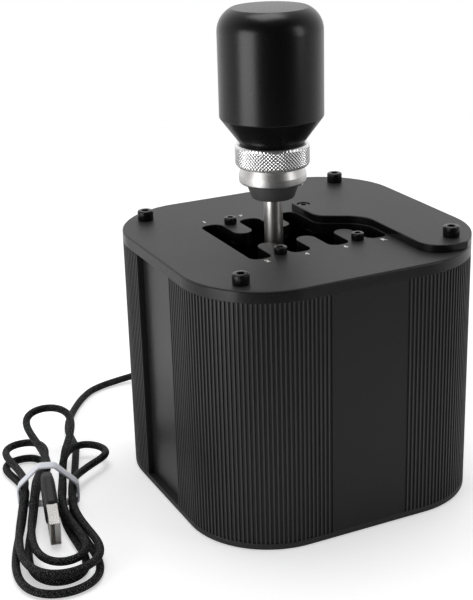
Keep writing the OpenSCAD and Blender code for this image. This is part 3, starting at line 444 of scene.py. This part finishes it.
def filleted(corners, steps=6):
    """An open outline: each corner (x, y, radius) becomes an arc that runs into both its sides."""
    out = [np.array([corners[0][:2]])]
    for before, (x, y, r), after in zip(corners, corners[1:-1], corners[2:]):
        tip = np.array([x, y])
        a = np.array(before[:2]) - tip
        b = np.array(after[:2]) - tip
        a, b = a / np.linalg.norm(a), b / np.linalg.norm(b)
        half = np.arccos(np.clip(a @ b, -1, 1)) / 2
        middle = tip + (a + b) / np.linalg.norm(a + b) * r / np.sin(half)
        first, last = tip + a * r / np.tan(half) - middle, tip + b * r / np.tan(half) - middle
        t = np.linspace(0, 1, steps)[:, None]
        arc = first * (1 - t) + last * t
        out.append(middle + arc / np.linalg.norm(arc, axis=1, keepdims=True) * r)
    out.append(np.array([corners[-1][:2]]))
    return np.concatenate(out)


def turned(profile, at, steps=144):
    """A profile of (radius, height) carried round an upright axis through a point."""
    angle = np.linspace(0, 2 * pi, steps, endpoint=False)
    r, z = np.asarray(profile).T[:, :, None]
    return np.stack([r * np.cos(angle), r * np.sin(angle), z + 0 * angle], -1) + np.array(at)


def flattened(mesh):
    """Joins the triangles of each flat face, so that it shades as one."""
    work = bmesh.new()
    work.from_mesh(mesh)
    bmesh.ops.dissolve_limit(work, angle_limit=FLAT_ANGLE, verts=work.verts, edges=work.edges)
    work.to_mesh(mesh)
    work.free()
    return mesh


def dressed(node, width, segments=2):
    """A welded copy of a node with its sharp edges broken by a small bevel."""
    mesh = flattened(welded(frame["nodes"][node].data.copy(), outwards=False))
    made = piece(node + "_dressed", mesh, node)
    edge = made.modifiers.new("edge", "BEVEL")
    edge.width = width
    edge.segments = segments
    edge.limit_method = "ANGLE"
    edge.angle_limit = SHARP_ANGLE
    shading = made.modifiers.new("shading", "WEIGHTED_NORMAL")
    shading.mode = "FACE_AREA"
    shading.keep_sharp = True
    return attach(made, BODY_OF[node])


# Cord: a lead from the gland, a hank of loops drawn in by a tie, and a tail to the plug

CORD_D = 3.4
CORD_SPACING = 1.0 * MM
CORD_SIDES = 18
GLAND_TIP = 83
HEADER_Z = 27
HANK_AT = np.array([-112.2, 19.5])
HANK_ANGLE = radians(69)
LOOP_L, LOOP_W, LOOP_STEP = 72, 9.8, 8.5
BOW_L, BOW_W = 52, 8.4
SLIM, SHORT = 2.4, 7
LOW_BEND, HIGH_BEND = 18, 24
STRAND_GAP = 1.1
HANK_RISE = 1.6
FLOOR_Z = CORD_D / 2 + 0.05
LAYER = CORD_D + STRAND_GAP
SETTLE_L = 18
LOBE_POINTS = 73
LOBE_SWELL = 1.3
FRONT, REAR = -1, 1
LOW, HIGH, TAIL = 0, 1, 3
TAIL_LIFT = 6
PLUG_L, PLUG_W, PLUG_T = 22, 14, 6.2
PLUG_NECK_L, PLUG_NECK_W = 6.6, 10.5
PLUG_AT = np.array([-4.5, 0, 14.6])
PLUG_DOWN = radians(14)
PLUG_TURN = radians(8)
PLUG_AXIS = np.array([-cos(PLUG_DOWN) * cos(PLUG_TURN), cos(PLUG_DOWN) * sin(PLUG_TURN), -sin(PLUG_DOWN)])
WAIST_U = 3
WAIST_IN = (PLUG_T + CORD_D) / 2 + STRAND_GAP
WAIST_OUT = WAIST_IN + LAYER
LOW_ROW = FLOOR_Z + HANK_RISE
HIGH_ROW = LOW_ROW + LAYER
TAIL_ROW = PLUG_AT[2] + CORD_D / 2


def from_hank(points):
    """Points from the hank's frame, u along it and v to its right, to the shifter's frame."""
    u, v, z = np.moveaxis(np.asarray(points, float), -1, 0)
    x = HANK_AT[0] + u * cos(HANK_ANGLE) + v * sin(HANK_ANGLE)
    y = HANK_AT[1] + u * sin(HANK_ANGLE) - v * cos(HANK_ANGLE)
    return np.stack([x, y, z], -1)


def ramp(x):
    """A smooth step from 0 to 1."""
    t = np.clip(x, 0, 1)
    return t * t * (3 - 2 * t)


def lobe(way, start, end, length, width, turn, layer, rise=0):
    """A loop out from the tie, to the front or the rear, and back to it. Its distance out is a half
    wave, it swells towards its tip, and its middle line bends by a turn in degrees. It settles from
    its places under the tie, each given as v and height, to its own layer, and may rise at its tip."""
    t = np.linspace(0, 1, LOBE_POINTS)
    out = length * np.sin(pi * t)
    half = (start[0] - end[0]) / 2
    swell = LOBE_SWELL * np.sign(half) * width * np.sin(2 * pi * t) * np.sin(pi * t)
    c = half * np.cos(pi * t) + swell
    bend = radians(turn) * np.sin(pi * t)
    r = length / radians(turn)
    u = way * (WAIST_U + (r - c) * np.sin(bend))
    v = (start[0] + end[0]) / 2 + r * (1 - np.cos(bend)) + c * np.cos(bend)
    foot = np.where(t < 0.5, start[1], end[1])
    z = foot + (FLOOR_Z + LAYER * layer - foot) * ramp(out / SETTLE_L) + rise * np.sin(pi * t) ** 2
    return np.stack([u, v, z], -1)


def smooth_route(points, spacing):
    """A smooth curve through points, with tangents from the chords on both sides, at even steps."""
    points = np.asarray(points, float)
    gap = np.linalg.norm(np.diff(points, axis=0), axis=1)
    at = np.concatenate([[0], np.cumsum(gap)])
    slope = np.diff(points, axis=0) / gap[:, None]
    weight = gap[1:, None] / (gap[:-1] + gap[1:])[:, None]
    tangent = np.concatenate([slope[:1], slope[:-1] * weight + slope[1:] * (1 - weight), slope[-1:]])
    fine = np.linspace(0, at[-1], int(at[-1] / spacing) * 4)
    k = np.clip(np.searchsorted(at, fine) - 1, 0, len(gap) - 1)
    h = gap[k][:, None]
    t = ((fine - at[k]) / gap[k])[:, None]
    curve = ((2 * t ** 3 - 3 * t ** 2 + 1) * points[k] + (t ** 3 - 2 * t ** 2 + t) * h * tangent[k]
             + (3 * t ** 2 - 2 * t ** 3) * points[k + 1] + (t ** 3 - t ** 2) * h * tangent[k + 1])
    run = np.concatenate([[0], np.cumsum(np.linalg.norm(np.diff(curve, axis=0), axis=1))])
    even = np.linspace(0, run[-1], int(run[-1] / spacing) + 1)
    return np.stack([np.interp(even, run, curve[:, axis]) for axis in range(3)], -1)


def tube(route, radius, sides, across=(0, 0, 1)):
    """A circle carried along a route that never runs along the given direction."""
    along = np.gradient(route, axis=0)
    along /= np.linalg.norm(along, axis=1, keepdims=True)
    beside = np.cross(across, along)
    beside /= np.linalg.norm(beside, axis=1, keepdims=True)
    over = np.cross(along, beside)
    angle = np.linspace(0, 2 * pi, sides, endpoint=False)[:, None]
    rings = np.cos(angle) * beside[:, None] + np.sin(angle) * over[:, None]
    return route[:, None] + np.broadcast_to(radius, len(route))[:, None, None] * rings


def closed_ends(grid):
    """A grid whose first and last rings are drawn to their middles, which closes a tube."""
    first = np.broadcast_to(grid[:1].mean(1, keepdims=True), grid[:1].shape)
    last = np.broadcast_to(grid[-1:].mean(1, keepdims=True), grid[-1:].shape)
    return np.concatenate([first, grid, last])


# The lead's points, with y counted from the gland's tip
LEAD_FALL = [[-1, 10, 26], [-4, 18, 22.5], [-9, 26, 17.2], [-15, 33, 11.4], [-22, 38.2, 6.6],
             [-30, 41.4, 3.6], [-39, 42.5, 2.2], [-48, 41.2, FLOOR_Z], [-55.5, 37.8, FLOOR_Z],
             [-62, 32, FLOOR_Z], [-68.5, 24, FLOOR_Z], [-74.5, 15, FLOOR_Z], [-79.2, 6, FLOOR_Z],
             [-82.2, -3, FLOOR_Z], [-83.4, -12, FLOOR_Z]]
# How far along the hank the points of the strand that enters it lie
ENTRY_U = np.array([46 + CORD_D, 46, 42, 34, 26, 18, 10])
lead = np.array([[0, GLAND_TIP, HEADER_Z], [0, GLAND_TIP + CORD_D, HEADER_Z]]
                + [[x, GLAND_TIP + y, z] for x, y, z in LEAD_FALL])
entry_z = FLOOR_Z + HANK_RISE * (1 - ramp(ENTRY_U / SETTLE_L))
entry = np.stack([ENTRY_U, np.full(len(ENTRY_U), WAIST_OUT), entry_z], -1)
right_low, left_low = (WAIST_OUT, LOW_ROW), (-WAIST_OUT, LOW_ROW)
right_in_low, left_in_low = (WAIST_IN, LOW_ROW), (-WAIST_IN, LOW_ROW)
right_high, left_high = (WAIST_OUT, HIGH_ROW), (-WAIST_OUT, HIGH_ROW)
right_in_high, left_in_high = (WAIST_IN, HIGH_ROW), (-WAIST_IN, HIGH_ROW)
hank = np.concatenate([
    entry,
    lobe(FRONT, right_low, left_low, LOOP_L, LOOP_W, LOW_BEND, LOW),
    lobe(REAR, left_low, left_in_low, 0.76 * BOW_L, 0.86 * BOW_W, -21, LOW),
    lobe(FRONT, left_in_low, right_in_low, LOOP_L - LOOP_STEP, LOOP_W - SLIM, LOW_BEND, LOW),
    lobe(REAR, right_in_low, right_high, 0.8 * BOW_L, 0.9 * BOW_W, 34, HIGH),
    lobe(FRONT, right_high, left_high, LOOP_L - SHORT, LOOP_W - 1, HIGH_BEND, HIGH),
    lobe(REAR, left_high, left_in_high, 0.9 * BOW_L, 0.9 * BOW_W, -17, HIGH),
    lobe(FRONT, left_in_high, right_in_high, LOOP_L - SHORT - LOOP_STEP, LOOP_W - 1 - SLIM,
         HIGH_BEND, HIGH),
    lobe(REAR, right_in_high, (0, TAIL_ROW), BOW_L, BOW_W, -14, TAIL, TAIL_LIFT),
    [PLUG_AT - CORD_D * PLUG_AXIS, PLUG_AT]])
route = smooth_route(np.concatenate([lead, from_hank(hank)]) * MM, CORD_SPACING)


def cord_mesh():
    """A round tube along the route, with a map that runs once round it and along it in cords."""
    grid = tube(route, CORD_D / 2 * MM, CORD_SIDES)
    mesh = skin("cord", [closed_ends(grid)])
    rows = len(grid) + 2
    i, j = np.meshgrid(np.arange(rows - 1), np.arange(CORD_SIDES), indexing="ij")
    along = CORD_SPACING / CORD_D / MM
    corners = [[j, i], [j + 1, i], [j + 1, i + 1], [j, i + 1]]
    spread = np.stack([np.stack([a / CORD_SIDES, b * along], -1) for a, b in corners], -2)
    layer = mesh.uv_layers.new(name="round")
    layer.data.foreach_set("uv", spread.astype(np.float32).ravel())
    return welded(mesh)


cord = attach(piece("cord", cord_mesh(), "cord_hank", ["cord_lead", "cord_hank", "cord_tail"]), "housing")


# Tie and plug

TIE_W = 5
TIE_T = 1
TIE_EDGE_R = 0.35
TIE_FOOT_R, TIE_SHOULDER_R, TIE_PEAK_R = 2, 4, 3
SOFT_GAP = 0.35


def tie_mesh():
    """A strip with rounded edges, carried round the waist and peaked over the tail."""
    side = WAIST_OUT + CORD_D / 2 + SOFT_GAP + TIE_T / 2
    bottom = LOW_ROW - CORD_D / 2 - SOFT_GAP - TIE_T / 2
    shoulder = HIGH_ROW + CORD_D / 2 + SOFT_GAP
    top = TAIL_ROW + CORD_D / 2 + 2 * SOFT_GAP + TIE_T / 2
    ring = [(0, bottom, 0), (side, bottom, TIE_FOOT_R), (side, shoulder, TIE_SHOULDER_R),
            (CORD_D, top, TIE_PEAK_R), (-CORD_D, top, TIE_PEAK_R),
            (-side, shoulder, TIE_SHOULDER_R), (-side, bottom, TIE_FOOT_R), (0, bottom, 0)]
    line = filleted(ring, 8)[:-1]
    away = np.roll(line, -1, 0) - np.roll(line, 1, 0)
    away = np.stack([away[:, 1], -away[:, 0]], -1)
    away /= np.linalg.norm(away, axis=1, keepdims=True)
    half_w, half_t, edge = TIE_W / 2, TIE_T / 2, TIE_EDGE_R
    section = filleted([(0, -half_t, 0), (half_w, -half_t, edge), (half_w, half_t, edge),
                        (-half_w, half_t, edge), (-half_w, -half_t, edge), (0, -half_t, 0)], 4)[:-1]
    across, out = section.T
    flat = line[:, None] + out[None, :, None] * away[:, None]
    local = np.concatenate([np.broadcast_to(across[None, :, None], flat.shape[:2] + (1,)), flat], -1)
    return welded(skin("tie", [from_hank(local) * MM], round_rows=True))


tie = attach(piece("tie", tie_mesh(), "cable_tie"), "housing")


PLUG_RIM = 0.8
NECK_RIM = 0.9
PLUG_SIDES = 72
NECK_THIN = 0.86
OVAL_POWER = 3.2


def plug_body_mesh():
    """A squarish oval, whose two half widths to a power add up to one, that swells from the neck to
    the grip, with a rounded rim at both ends."""
    s = np.concatenate([[0], np.linspace(0, PLUG_NECK_L, 9), PLUG_L * np.array([0.5, 0.75, 0.93]),
                        PLUG_L - PLUG_RIM * np.array([1, 0.5, 0.15, 0, 0])])
    swell = ramp(s / PLUG_NECK_L)
    rim = np.interp(s, [0, PLUG_RIM / 2, NECK_RIM, PLUG_L - PLUG_RIM, PLUG_L], [0.82, 0.93, 1, 1, 0.9])
    rim[[0, -1]] = 0
    wide = (PLUG_NECK_W + (PLUG_W - PLUG_NECK_W) * swell) / 2 * rim
    thick = (NECK_THIN + (1 - NECK_THIN) * swell) * PLUG_T / 2 * rim
    angle = np.linspace(0, 2 * pi, PLUG_SIDES, endpoint=False)
    a = np.sign(np.cos(angle)) * np.abs(np.cos(angle)) ** (2 / OVAL_POWER)
    b = np.sign(np.sin(angle)) * np.abs(np.sin(angle)) ** (2 / OVAL_POWER)
    beside = np.array([sin(PLUG_TURN), cos(PLUG_TURN), 0])
    over = np.cross(PLUG_AXIS, beside)
    local = (PLUG_AT + s[:, None, None] * PLUG_AXIS + (thick[:, None] * b)[..., None] * beside
             + (wide[:, None] * a)[..., None] * over)
    return welded(skin("plug_body", [from_hank(local) * MM]))


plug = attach(piece("plug_grip", plug_body_mesh(), "plug_body"), "housing")
plug_pieces = [tie, plug, dressed("plug_shell", SMALL_EDGE), dressed("plug_tongue", TONGUE_EDGE),
               dressed("cord_gland", GLAND_EDGE, 3)]


# Lever: knob, knurled ring, collar, cone and rod on one axis

def axis_of(node):
    """The upright axis of a turned node: its foot, its height and its widest radius."""
    low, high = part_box(node)
    return ((low.x + high.x) / 2, (low.y + high.y) / 2, low.z), high.z - low.z, (high.x - low.x) / 2


ROD_BORE_R = 4.05 * MM
KNOB_FOOT_R = 13.4 * MM
KNOB_TAPER_H = 12.6 * MM
KNOB_GRIP_TOP = 47.6 * MM
KNOB_SHOULDER_R = 10.4 * MM
KNOB_SHOULDER_SWEEP = radians(65)
KNOB_STEPS = 192
KNOB_FOOT_EDGE, KNOB_NECK_EDGE = 0.2 * MM, 0.3 * MM
KNOB_GRIP_EDGE, KNOB_TOP_EDGE = 1.2 * MM, 0.9 * MM
RING_LIP = 1.15 * MM


def bored(name, profile, at):
    """A ring round the rod: a profile that starts and ends on the rod's bore, closed and turned."""
    outline = filleted(profile)
    return welded(skin(name, [turned(np.concatenate([outline, outline[:1]]), at)]))


def knob_mesh():
    """A short neck in the ring's lip, a taper, a straight grip, a round shoulder and a flat top."""
    at, height, r = axis_of("knob")
    a = np.linspace(0, KNOB_SHOULDER_SWEEP, 24)[:, None]
    shoulder = (np.array([r - KNOB_SHOULDER_R, KNOB_GRIP_TOP])
                + KNOB_SHOULDER_R * np.concatenate([np.cos(a), np.sin(a)], 1))
    lower = filleted([(0, 0), (KNOB_FOOT_R, 0, KNOB_FOOT_EDGE), (KNOB_FOOT_R, RING_LIP, KNOB_NECK_EDGE),
                      (r, KNOB_TAPER_H, KNOB_GRIP_EDGE), (r, KNOB_GRIP_TOP)], 8)
    upper = filleted([shoulder[-3], (*shoulder[-1], KNOB_TOP_EDGE), (0, height)], 6)
    profile = np.concatenate([lower[:-1], shoulder[:-2], upper])
    return welded(skin("knob", [turned(profile, at, KNOB_STEPS)]))


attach(piece("knob_turned", knob_mesh(), "knob"), "lever")

KNURL_STARTS = 66
KNURL_DEPTH = 0.34 * MM
KNURL_RISE = 0.3 * MM
KNURL_EDGE = 0.9 * MM
KNURL_FADE = 0.3 * MM
KNURL_FADED = 0.35
KNURL_SHARP = radians(25)
RING_SHRINK = 1.4 * KNURL_DEPTH
RING_CHAMFER = 0.3 * MM
LIP_GAP = 0.15 * MM


def knurled_ring_mesh():
    """A ring cut by two crossing sets of spiral grooves, which leave rows of pointed diamonds and raise
    them a little. Its top has a lip that stands round the knob's neck."""
    at, seat, r = axis_of("knurled_ring")
    r += KNURL_RISE
    height = seat + RING_LIP
    steps = KNURL_STARTS * 8
    step = 2 * pi * r / steps
    z = np.arange(KNURL_EDGE, height - KNURL_EDGE + step / 2, step)[:, None]
    angle = np.linspace(0, 2 * pi, steps, endpoint=False)[None]
    turn = angle * KNURL_STARTS / (2 * pi)
    climb = z * KNURL_STARTS / (2 * pi * r)

    def groove(phase):
        """1 on a ridge, 0 at the bottom of a groove."""
        return np.abs(2 * (phase % 1) - 1)

    fade = ramp(np.minimum(z - KNURL_EDGE, height - KNURL_EDGE - z) / KNURL_FADE)
    diamond = np.minimum(groove(turn + climb), groove(turn - climb))
    knurl = r - KNURL_DEPTH * (1 - diamond * (KNURL_FADED + (1 - KNURL_FADED) * fade))
    edge = r - RING_SHRINK
    rim = edge - RING_CHAMFER
    lip_r = KNOB_FOOT_R + LIP_GAP
    low = turned([(ROD_BORE_R, 0), (rim, 0), (edge, RING_CHAMFER)], (0, 0, 0), steps)
    high = turned([(edge, height - RING_CHAMFER), (rim, height), (lip_r, height), (lip_r, seat),
                   (ROD_BORE_R, seat)], (0, 0, 0), steps)
    band = np.stack([knurl * np.cos(angle), knurl * np.sin(angle), z + 0 * angle], -1)
    mesh = skin("knurled_ring", [np.concatenate([low, band, high, low[:1]]) + np.array(at)])
    plain = np.ones((len(low) + len(high) + 1, steps))
    # crest is 0 in the grooves, where the ring's finish paints shade
    crest = np.concatenate([plain[:len(low)], diamond, plain[len(low):]]).astype(np.float32)
    mesh.attributes.new("crest", "FLOAT", "POINT").data.foreach_set("value", crest.ravel())
    return welded(mesh)


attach(piece("ring_knurled", knurled_ring_mesh(), "knurled_ring", sharp=KNURL_SHARP), "lever")


COLLAR_BAND = 0.48
COLLAR_DRAW = 1.3 * MM
COLLAR_FOOT_EDGE, COLLAR_BAND_EDGE, COLLAR_TOP_EDGE = 1.0 * MM, 0.12 * MM, 0.2 * MM
CONE_FOOT_R = 9 * MM
CONE_FOOT_EDGE, CONE_TOP_EDGE = 0.5 * MM, 0.25 * MM
ROD_CHAMFER = 0.5 * MM


def collar_mesh():
    """A polished band with a round foot, and above it a slope that draws in under the ring."""
    at, height, r = axis_of("collar")
    profile = [(ROD_BORE_R, 0), (r, 0, COLLAR_FOOT_EDGE), (r, height * COLLAR_BAND, COLLAR_BAND_EDGE),
               (r - COLLAR_DRAW, height, COLLAR_TOP_EDGE), (ROD_BORE_R, height)]
    return bored("collar", profile, at)


def cone_mesh():
    """A lock nut that widens upwards, with broken edges."""
    at, height, r = axis_of("lock_cone")
    profile = [(ROD_BORE_R, 0), (CONE_FOOT_R, 0, CONE_FOOT_EDGE), (r, height, CONE_TOP_EDGE),
               (ROD_BORE_R, height)]
    return bored("lock_cone", profile, at)


def rod_mesh():
    """A plain polished rod with chamfered ends."""
    at, height, r = axis_of("lever_rod")
    neck, top = r - ROD_CHAMFER, height - ROD_CHAMFER
    profile = [(0, 0), (neck, 0), (r, ROD_CHAMFER), (r, top), (neck, height), (0, height)]
    return welded(skin("lever_rod", [turned(profile, at)]))


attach(piece("collar_turned", collar_mesh(), "collar"), "lever")
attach(piece("cone_turned", cone_mesh(), "lock_cone"), "lever")
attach(piece("rod_turned", rod_mesh(), "lever_rod"), "lever")


# Socket screws

SCREW_STEPS = 144
SCREW_TEETH = 36
TOOTH_SHARE = 0.022
SOCKET_SHARE = 0.75
SOCKET_DRAFT = 0.98
SOCKET_FLOOR = 0.45
SOCKET_CHAMFER = 0.25 * MM
SHANK_CHAMFER = 0.3 * MM
HEAD_RIM = 0.35 * MM


def screw_grid(at, head_r, head_h, shank_r, reach):
    """A round profile from the socket's floor over the head to the shank's end: the socket's rows
    are hexagons, and the head's side carries fine upright teeth."""
    angle = np.linspace(0, 2 * pi, SCREW_STEPS, endpoint=False)
    sixth = pi / 3
    hexagon = 1 / np.cos((angle + sixth / 2) % sixth - sixth / 2)
    plain = np.ones_like(angle)
    toothed = 1 - TOOTH_SHARE * (0.5 + 0.5 * np.cos(SCREW_TEETH * angle))
    flat = shank_r * SOCKET_SHARE
    floor_z = head_h * SOCKET_FLOOR
    rim = HEAD_RIM
    rows = [(0, floor_z, plain), (flat * SOCKET_DRAFT, floor_z, hexagon),
            (flat, head_h - SOCKET_CHAMFER, hexagon),
            (flat + SOCKET_CHAMFER, head_h, plain * 0.5 + hexagon * 0.5),
            (head_r - 1.6 * rim, head_h, plain), (head_r - rim * 0.7, head_h - rim * 0.3, plain),
            (head_r - rim * 0.2, head_h - rim, plain), (head_r, head_h - 1.4 * rim, toothed),
            (head_r, rim, toothed), (head_r - rim * 0.6, 0, plain), (shank_r, 0, plain),
            (shank_r, SHANK_CHAMFER - reach, plain), (shank_r - SHANK_CHAMFER, -reach, plain),
            (0, -reach, plain)]
    r = np.array([row[0] * row[2] for row in rows])
    z = np.array([row[1] for row in rows])[:, None]
    return np.stack([r * np.cos(angle), r * np.sin(angle), z + 0 * r], -1) + np.array(at)


CORNER_SCREW = {"head_r": 3.5 * MM, "head_h": 4.4 * MM, "shank_r": 2 * MM}
GATE_SCREW = {"head_r": 2.75 * MM, "head_h": 3.0 * MM, "shank_r": 1.5 * MM}


def screws_mesh(node, size, left_top, right_top):
    """A node's four screws, at the corners of its box, with the heads on the plates' tops there."""
    low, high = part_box(node)
    r = size["head_r"]
    return welded(skin(node, [screw_grid((x, y, top), **size, reach=top - low.z)
                              for x, top in ((low.x + r, left_top), (high.x - r, right_top))
                              for y in (low.y + r, high.y - r)]))


for node, size, right_top in (("corner_screws", CORNER_SCREW, COVER_TOP),
                              ("gate_screws", GATE_SCREW, PLATE_TOP)):
    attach(piece(node + "_cut", screws_mesh(node, size, PLATE_TOP, right_top), node), "housing")


# Centring springs, which stretch between an end block and the carriage

SPRING_R = 4.3 * MM
SPRING_WIRE = 0.9 * MM
SPRING_SIDES = 10
CURL_POINTS = 28
END_CLOSING = 0.06


def spring_mesh(node, curls):
    """Two coils round the guide rods: a circle of wire carried along a helix, closer at its ends."""
    low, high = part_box(node)
    first, last = low.x + SPRING_WIRE / 2, high.x - SPRING_WIRE / 2
    t = np.linspace(0, 1, curls * CURL_POINTS)
    close = t - END_CLOSING * np.sin(2 * pi * t)
    turn = 2 * pi * curls * t
    z = (low.z + high.z) / 2
    coils = []
    for y in (low.y + SPRING_R + SPRING_WIRE / 2, high.y - SPRING_R - SPRING_WIRE / 2):
        line = np.stack([first + (last - first) * close, y + SPRING_R * np.cos(turn),
                         z + SPRING_R * np.sin(turn)], -1)
        coils.append(closed_ends(tube(line, SPRING_WIRE / 2, SPRING_SIDES, (1, 0, 0))))
    return welded(skin(node, coils))


for node, curls in (("left_springs", 6), ("right_springs", 7)):
    coil = piece(node + "_wound", spring_mesh(node, curls), node)
    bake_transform(coil)


# Plates, shells and the mechanism keep their solids, with broken edges

HALF_W = 65 * MM
CORNER_R = 37 * MM
FLUTE_DEPTH = 0.6 * MM
BAND_HALF = 17.4 * MM


def mark_crests(mesh):
    """Gives each point of a shell a number: 1 on the crest of a flute and 0 at its bottom. It is
    the distance in from the housing's outline, a square with round corners, over a flute's depth."""
    at = np.empty(len(mesh.vertices) * 3, np.float32)
    mesh.vertices.foreach_get("co", at)
    at = np.abs(at.reshape(-1, 3)[:, :2])
    past = at - (HALF_W - CORNER_R)
    outside = np.linalg.norm(np.maximum(past, 0), axis=1) + np.minimum(past.max(1), 0) - CORNER_R
    crest = np.clip(1 + outside / FLUTE_DEPTH, 0, 1) * (at[:, 0] > BAND_HALF)
    mesh.attributes.new("crest", "FLOAT", "POINT").data.foreach_set("value", crest.astype(np.float32))


for node in ("gate_plate", "reverse_cover", "base_plate"):
    dressed(node, PLATE_EDGE, 3)
for node in ("front_shell", "rear_shell"):
    # The crest number of each shell point lets its finish paint a highlight on the crests of the flutes
    mark_crests(dressed(node, FLUTE_EDGE).data)
for node in ("left_panel", "right_panel", "gate_liner", "left_end_block", "right_end_block",
             "carriage", "lever_hub"):
    dressed(node, BLOCK_EDGE)
for node in ("switch_board", "micro_switches", "controller_chip", "cord_header", "base_screws",
             "carriage_bushes", "pivot_pin", "retaining_rings", "detent_plunger", "striker",
             "rod_grub_screws", "hub_grub_screw", "board_screws", "board_standoffs", "guide_rods",
             *("plunger_" + gear for gear in "123456r")):
    dressed(node, SMALL_EDGE)
for node in ("detent_ball", "inner_lead"):
    frame["nodes"][node].data.materials.clear()
    frame["nodes"][node].data.materials.append(finish_of(node))


# Gear numbers, printed on the gate plate

MARK_H = 3.6 * MM
MARK_T = 0.02 * MM
MARK_BOLD = 0.13 * MM
COLUMN_PITCH = 18.3 * MM
FRONT_MARK_Y = -29.7 * MM
REAR_MARK_Y = 31.5 * MM


def marks_mesh():
    """The numbers of the gears as one thin mesh, each centred on its slot."""
    marks = [("1", -1.5, REAR_MARK_Y), ("3", -0.5, REAR_MARK_Y), ("5", 0.5, REAR_MARK_Y),
             ("2", -1.5, FRONT_MARK_Y), ("4", -0.5, FRONT_MARK_Y), ("6", 0.5, FRONT_MARK_Y),
             ("R", 1.5, FRONT_MARK_Y)]
    work = bmesh.new()
    for text, column, y in marks:
        words = bpy.data.curves.new("mark", "FONT")
        words.body = text
        words.align_x, words.align_y = "CENTER", "CENTER"
        words.size = MARK_H
        words.extrude = MARK_T / 2
        words.offset = MARK_BOLD
        holder = bpy.data.objects.new("mark", words)
        mesh = bpy.data.meshes.new_from_object(holder)
        mesh.transform(Matrix.Translation((column * COLUMN_PITCH, y, PLATE_TOP + MARK_T / 2)))
        work.from_mesh(mesh)
        bpy.data.objects.remove(holder)
        bpy.data.meshes.remove(mesh)
    mesh = bpy.data.meshes.new("gear_marks")
    work.to_mesh(mesh)
    work.free()
    return mesh


marks = bpy.data.objects.new("gear_marks", marks_mesh())
marks.data.materials.clear()
marks.data.materials.append(printed("ink_white"))
SCENE.collection.objects.link(marks)
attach(marks, "housing")


# Floor and light

FLOOR_R = 0.5
FLOOR_AT = (0, 0.2, -0.2 * MM)
FLOOR_LIFT = {"Is Camera Ray": 0.5, "Is Glossy Ray": 0.05, "Is Transmission Ray": 0.05}
ROOM_DARK_FROM, ROOM_DARK_TO = -0.7, 0.6
ROOM_DARKNESS = 0.97


def floor_mesh():
    """A round pale table top: rings of points about a point behind the shifter."""
    rings = [(0, 0), (FLOOR_R / 2, 0), (FLOOR_R, 0)]
    return welded(skin("floor", [turned(rings, FLOOR_AT)]), outwards=False)


def floor_finish():
    """Pale matt paper. To the camera it is lifted to white, a little so in reflections, and it keeps
    its shadows."""
    made = Finish("floor_paper", roughness=0.9, specular_ior_level=0.1)
    fibre = noise(made.wire, made.where, 300, 2.0)
    made.set(base_color=mix(fibre, colour(0.84), colour(0.86)))
    lift = sum(made.wire.node("LightPath", None, None, ray) * amount for ray, amount in FLOOR_LIFT.items())
    glow = made.wire.node("Emission", None, {"Color": colour(1), "Strength": lift})
    both = made.wire.node("AddShader", None, {0: Wire(made.tree, made.shader.outputs[0]), 1: glow})
    made.tree.links.new(both.socket, made.tree.nodes["Material Output"].inputs["Surface"])
    return made.material


floor = bpy.data.objects.new("floor", floor_mesh())
floor.data.materials.append(floor_finish())
SCENE.collection.objects.link(floor)


def studio_world():
    """White all round to the camera. To the object it is a white room that is dark behind the camera."""
    world = bpy.data.worlds.new("studio")
    world.use_nodes = True
    SCENE.world = world
    tree = world.node_tree
    wire = Wire(tree)
    towards = wire.node("TexCoord", None, None, "Generated")
    way = (CAMERA_AT - CAMERA_AIM).normalized()
    facing = wire.node("VectorMath", {"operation": "DOT_PRODUCT"},
                       {0: towards, 1: (way.x, way.y, way.z)}, "Value")
    dark = facing.clamped(ROOM_DARK_FROM, ROOM_DARK_TO)
    rays = [wire.node("LightPath", None, None, ray) for ray in ("Is Camera Ray", "Is Transmission Ray")]
    seen = sum(rays).clamped(0, 1)
    strength = seen + (1 - seen) * (1 - dark * ROOM_DARKNESS)
    tree.links.new(strength.socket, tree.nodes["Background"].inputs["Strength"])
    tree.nodes["Background"].inputs["Color"].default_value = colour(1)


studio_world()


def softbox(name, at, aim, width, height, radiance):
    """A rectangular lamp that shines at a point with an even glow."""
    lamp = bpy.data.lights.new(name, "AREA")
    lamp.shape = "RECTANGLE"
    lamp.size, lamp.size_y = width, height
    lamp.energy = radiance * pi * width * height
    made = bpy.data.objects.new(name, lamp)
    made.location = at
    made.rotation_euler = (Vector(aim) - Vector(at)).to_track_quat("-Z", "Y").to_euler()
    SCENE.collection.objects.link(made)


softbox("left_box", (-1.1, -0.22, 0.1), (0, 0, 0.12), 0.7, 1.0, 3.6)
softbox("right_box", (0.9, -1.1, 0.5), (0, 0, 0.12), 0.35, 0.9, 3.2)
softbox("top_box", (0, 0.15, 1.3), (0, 0, 0), 0.75, 0.7, 3.6)

SCENE.view_settings.view_transform = "Standard"
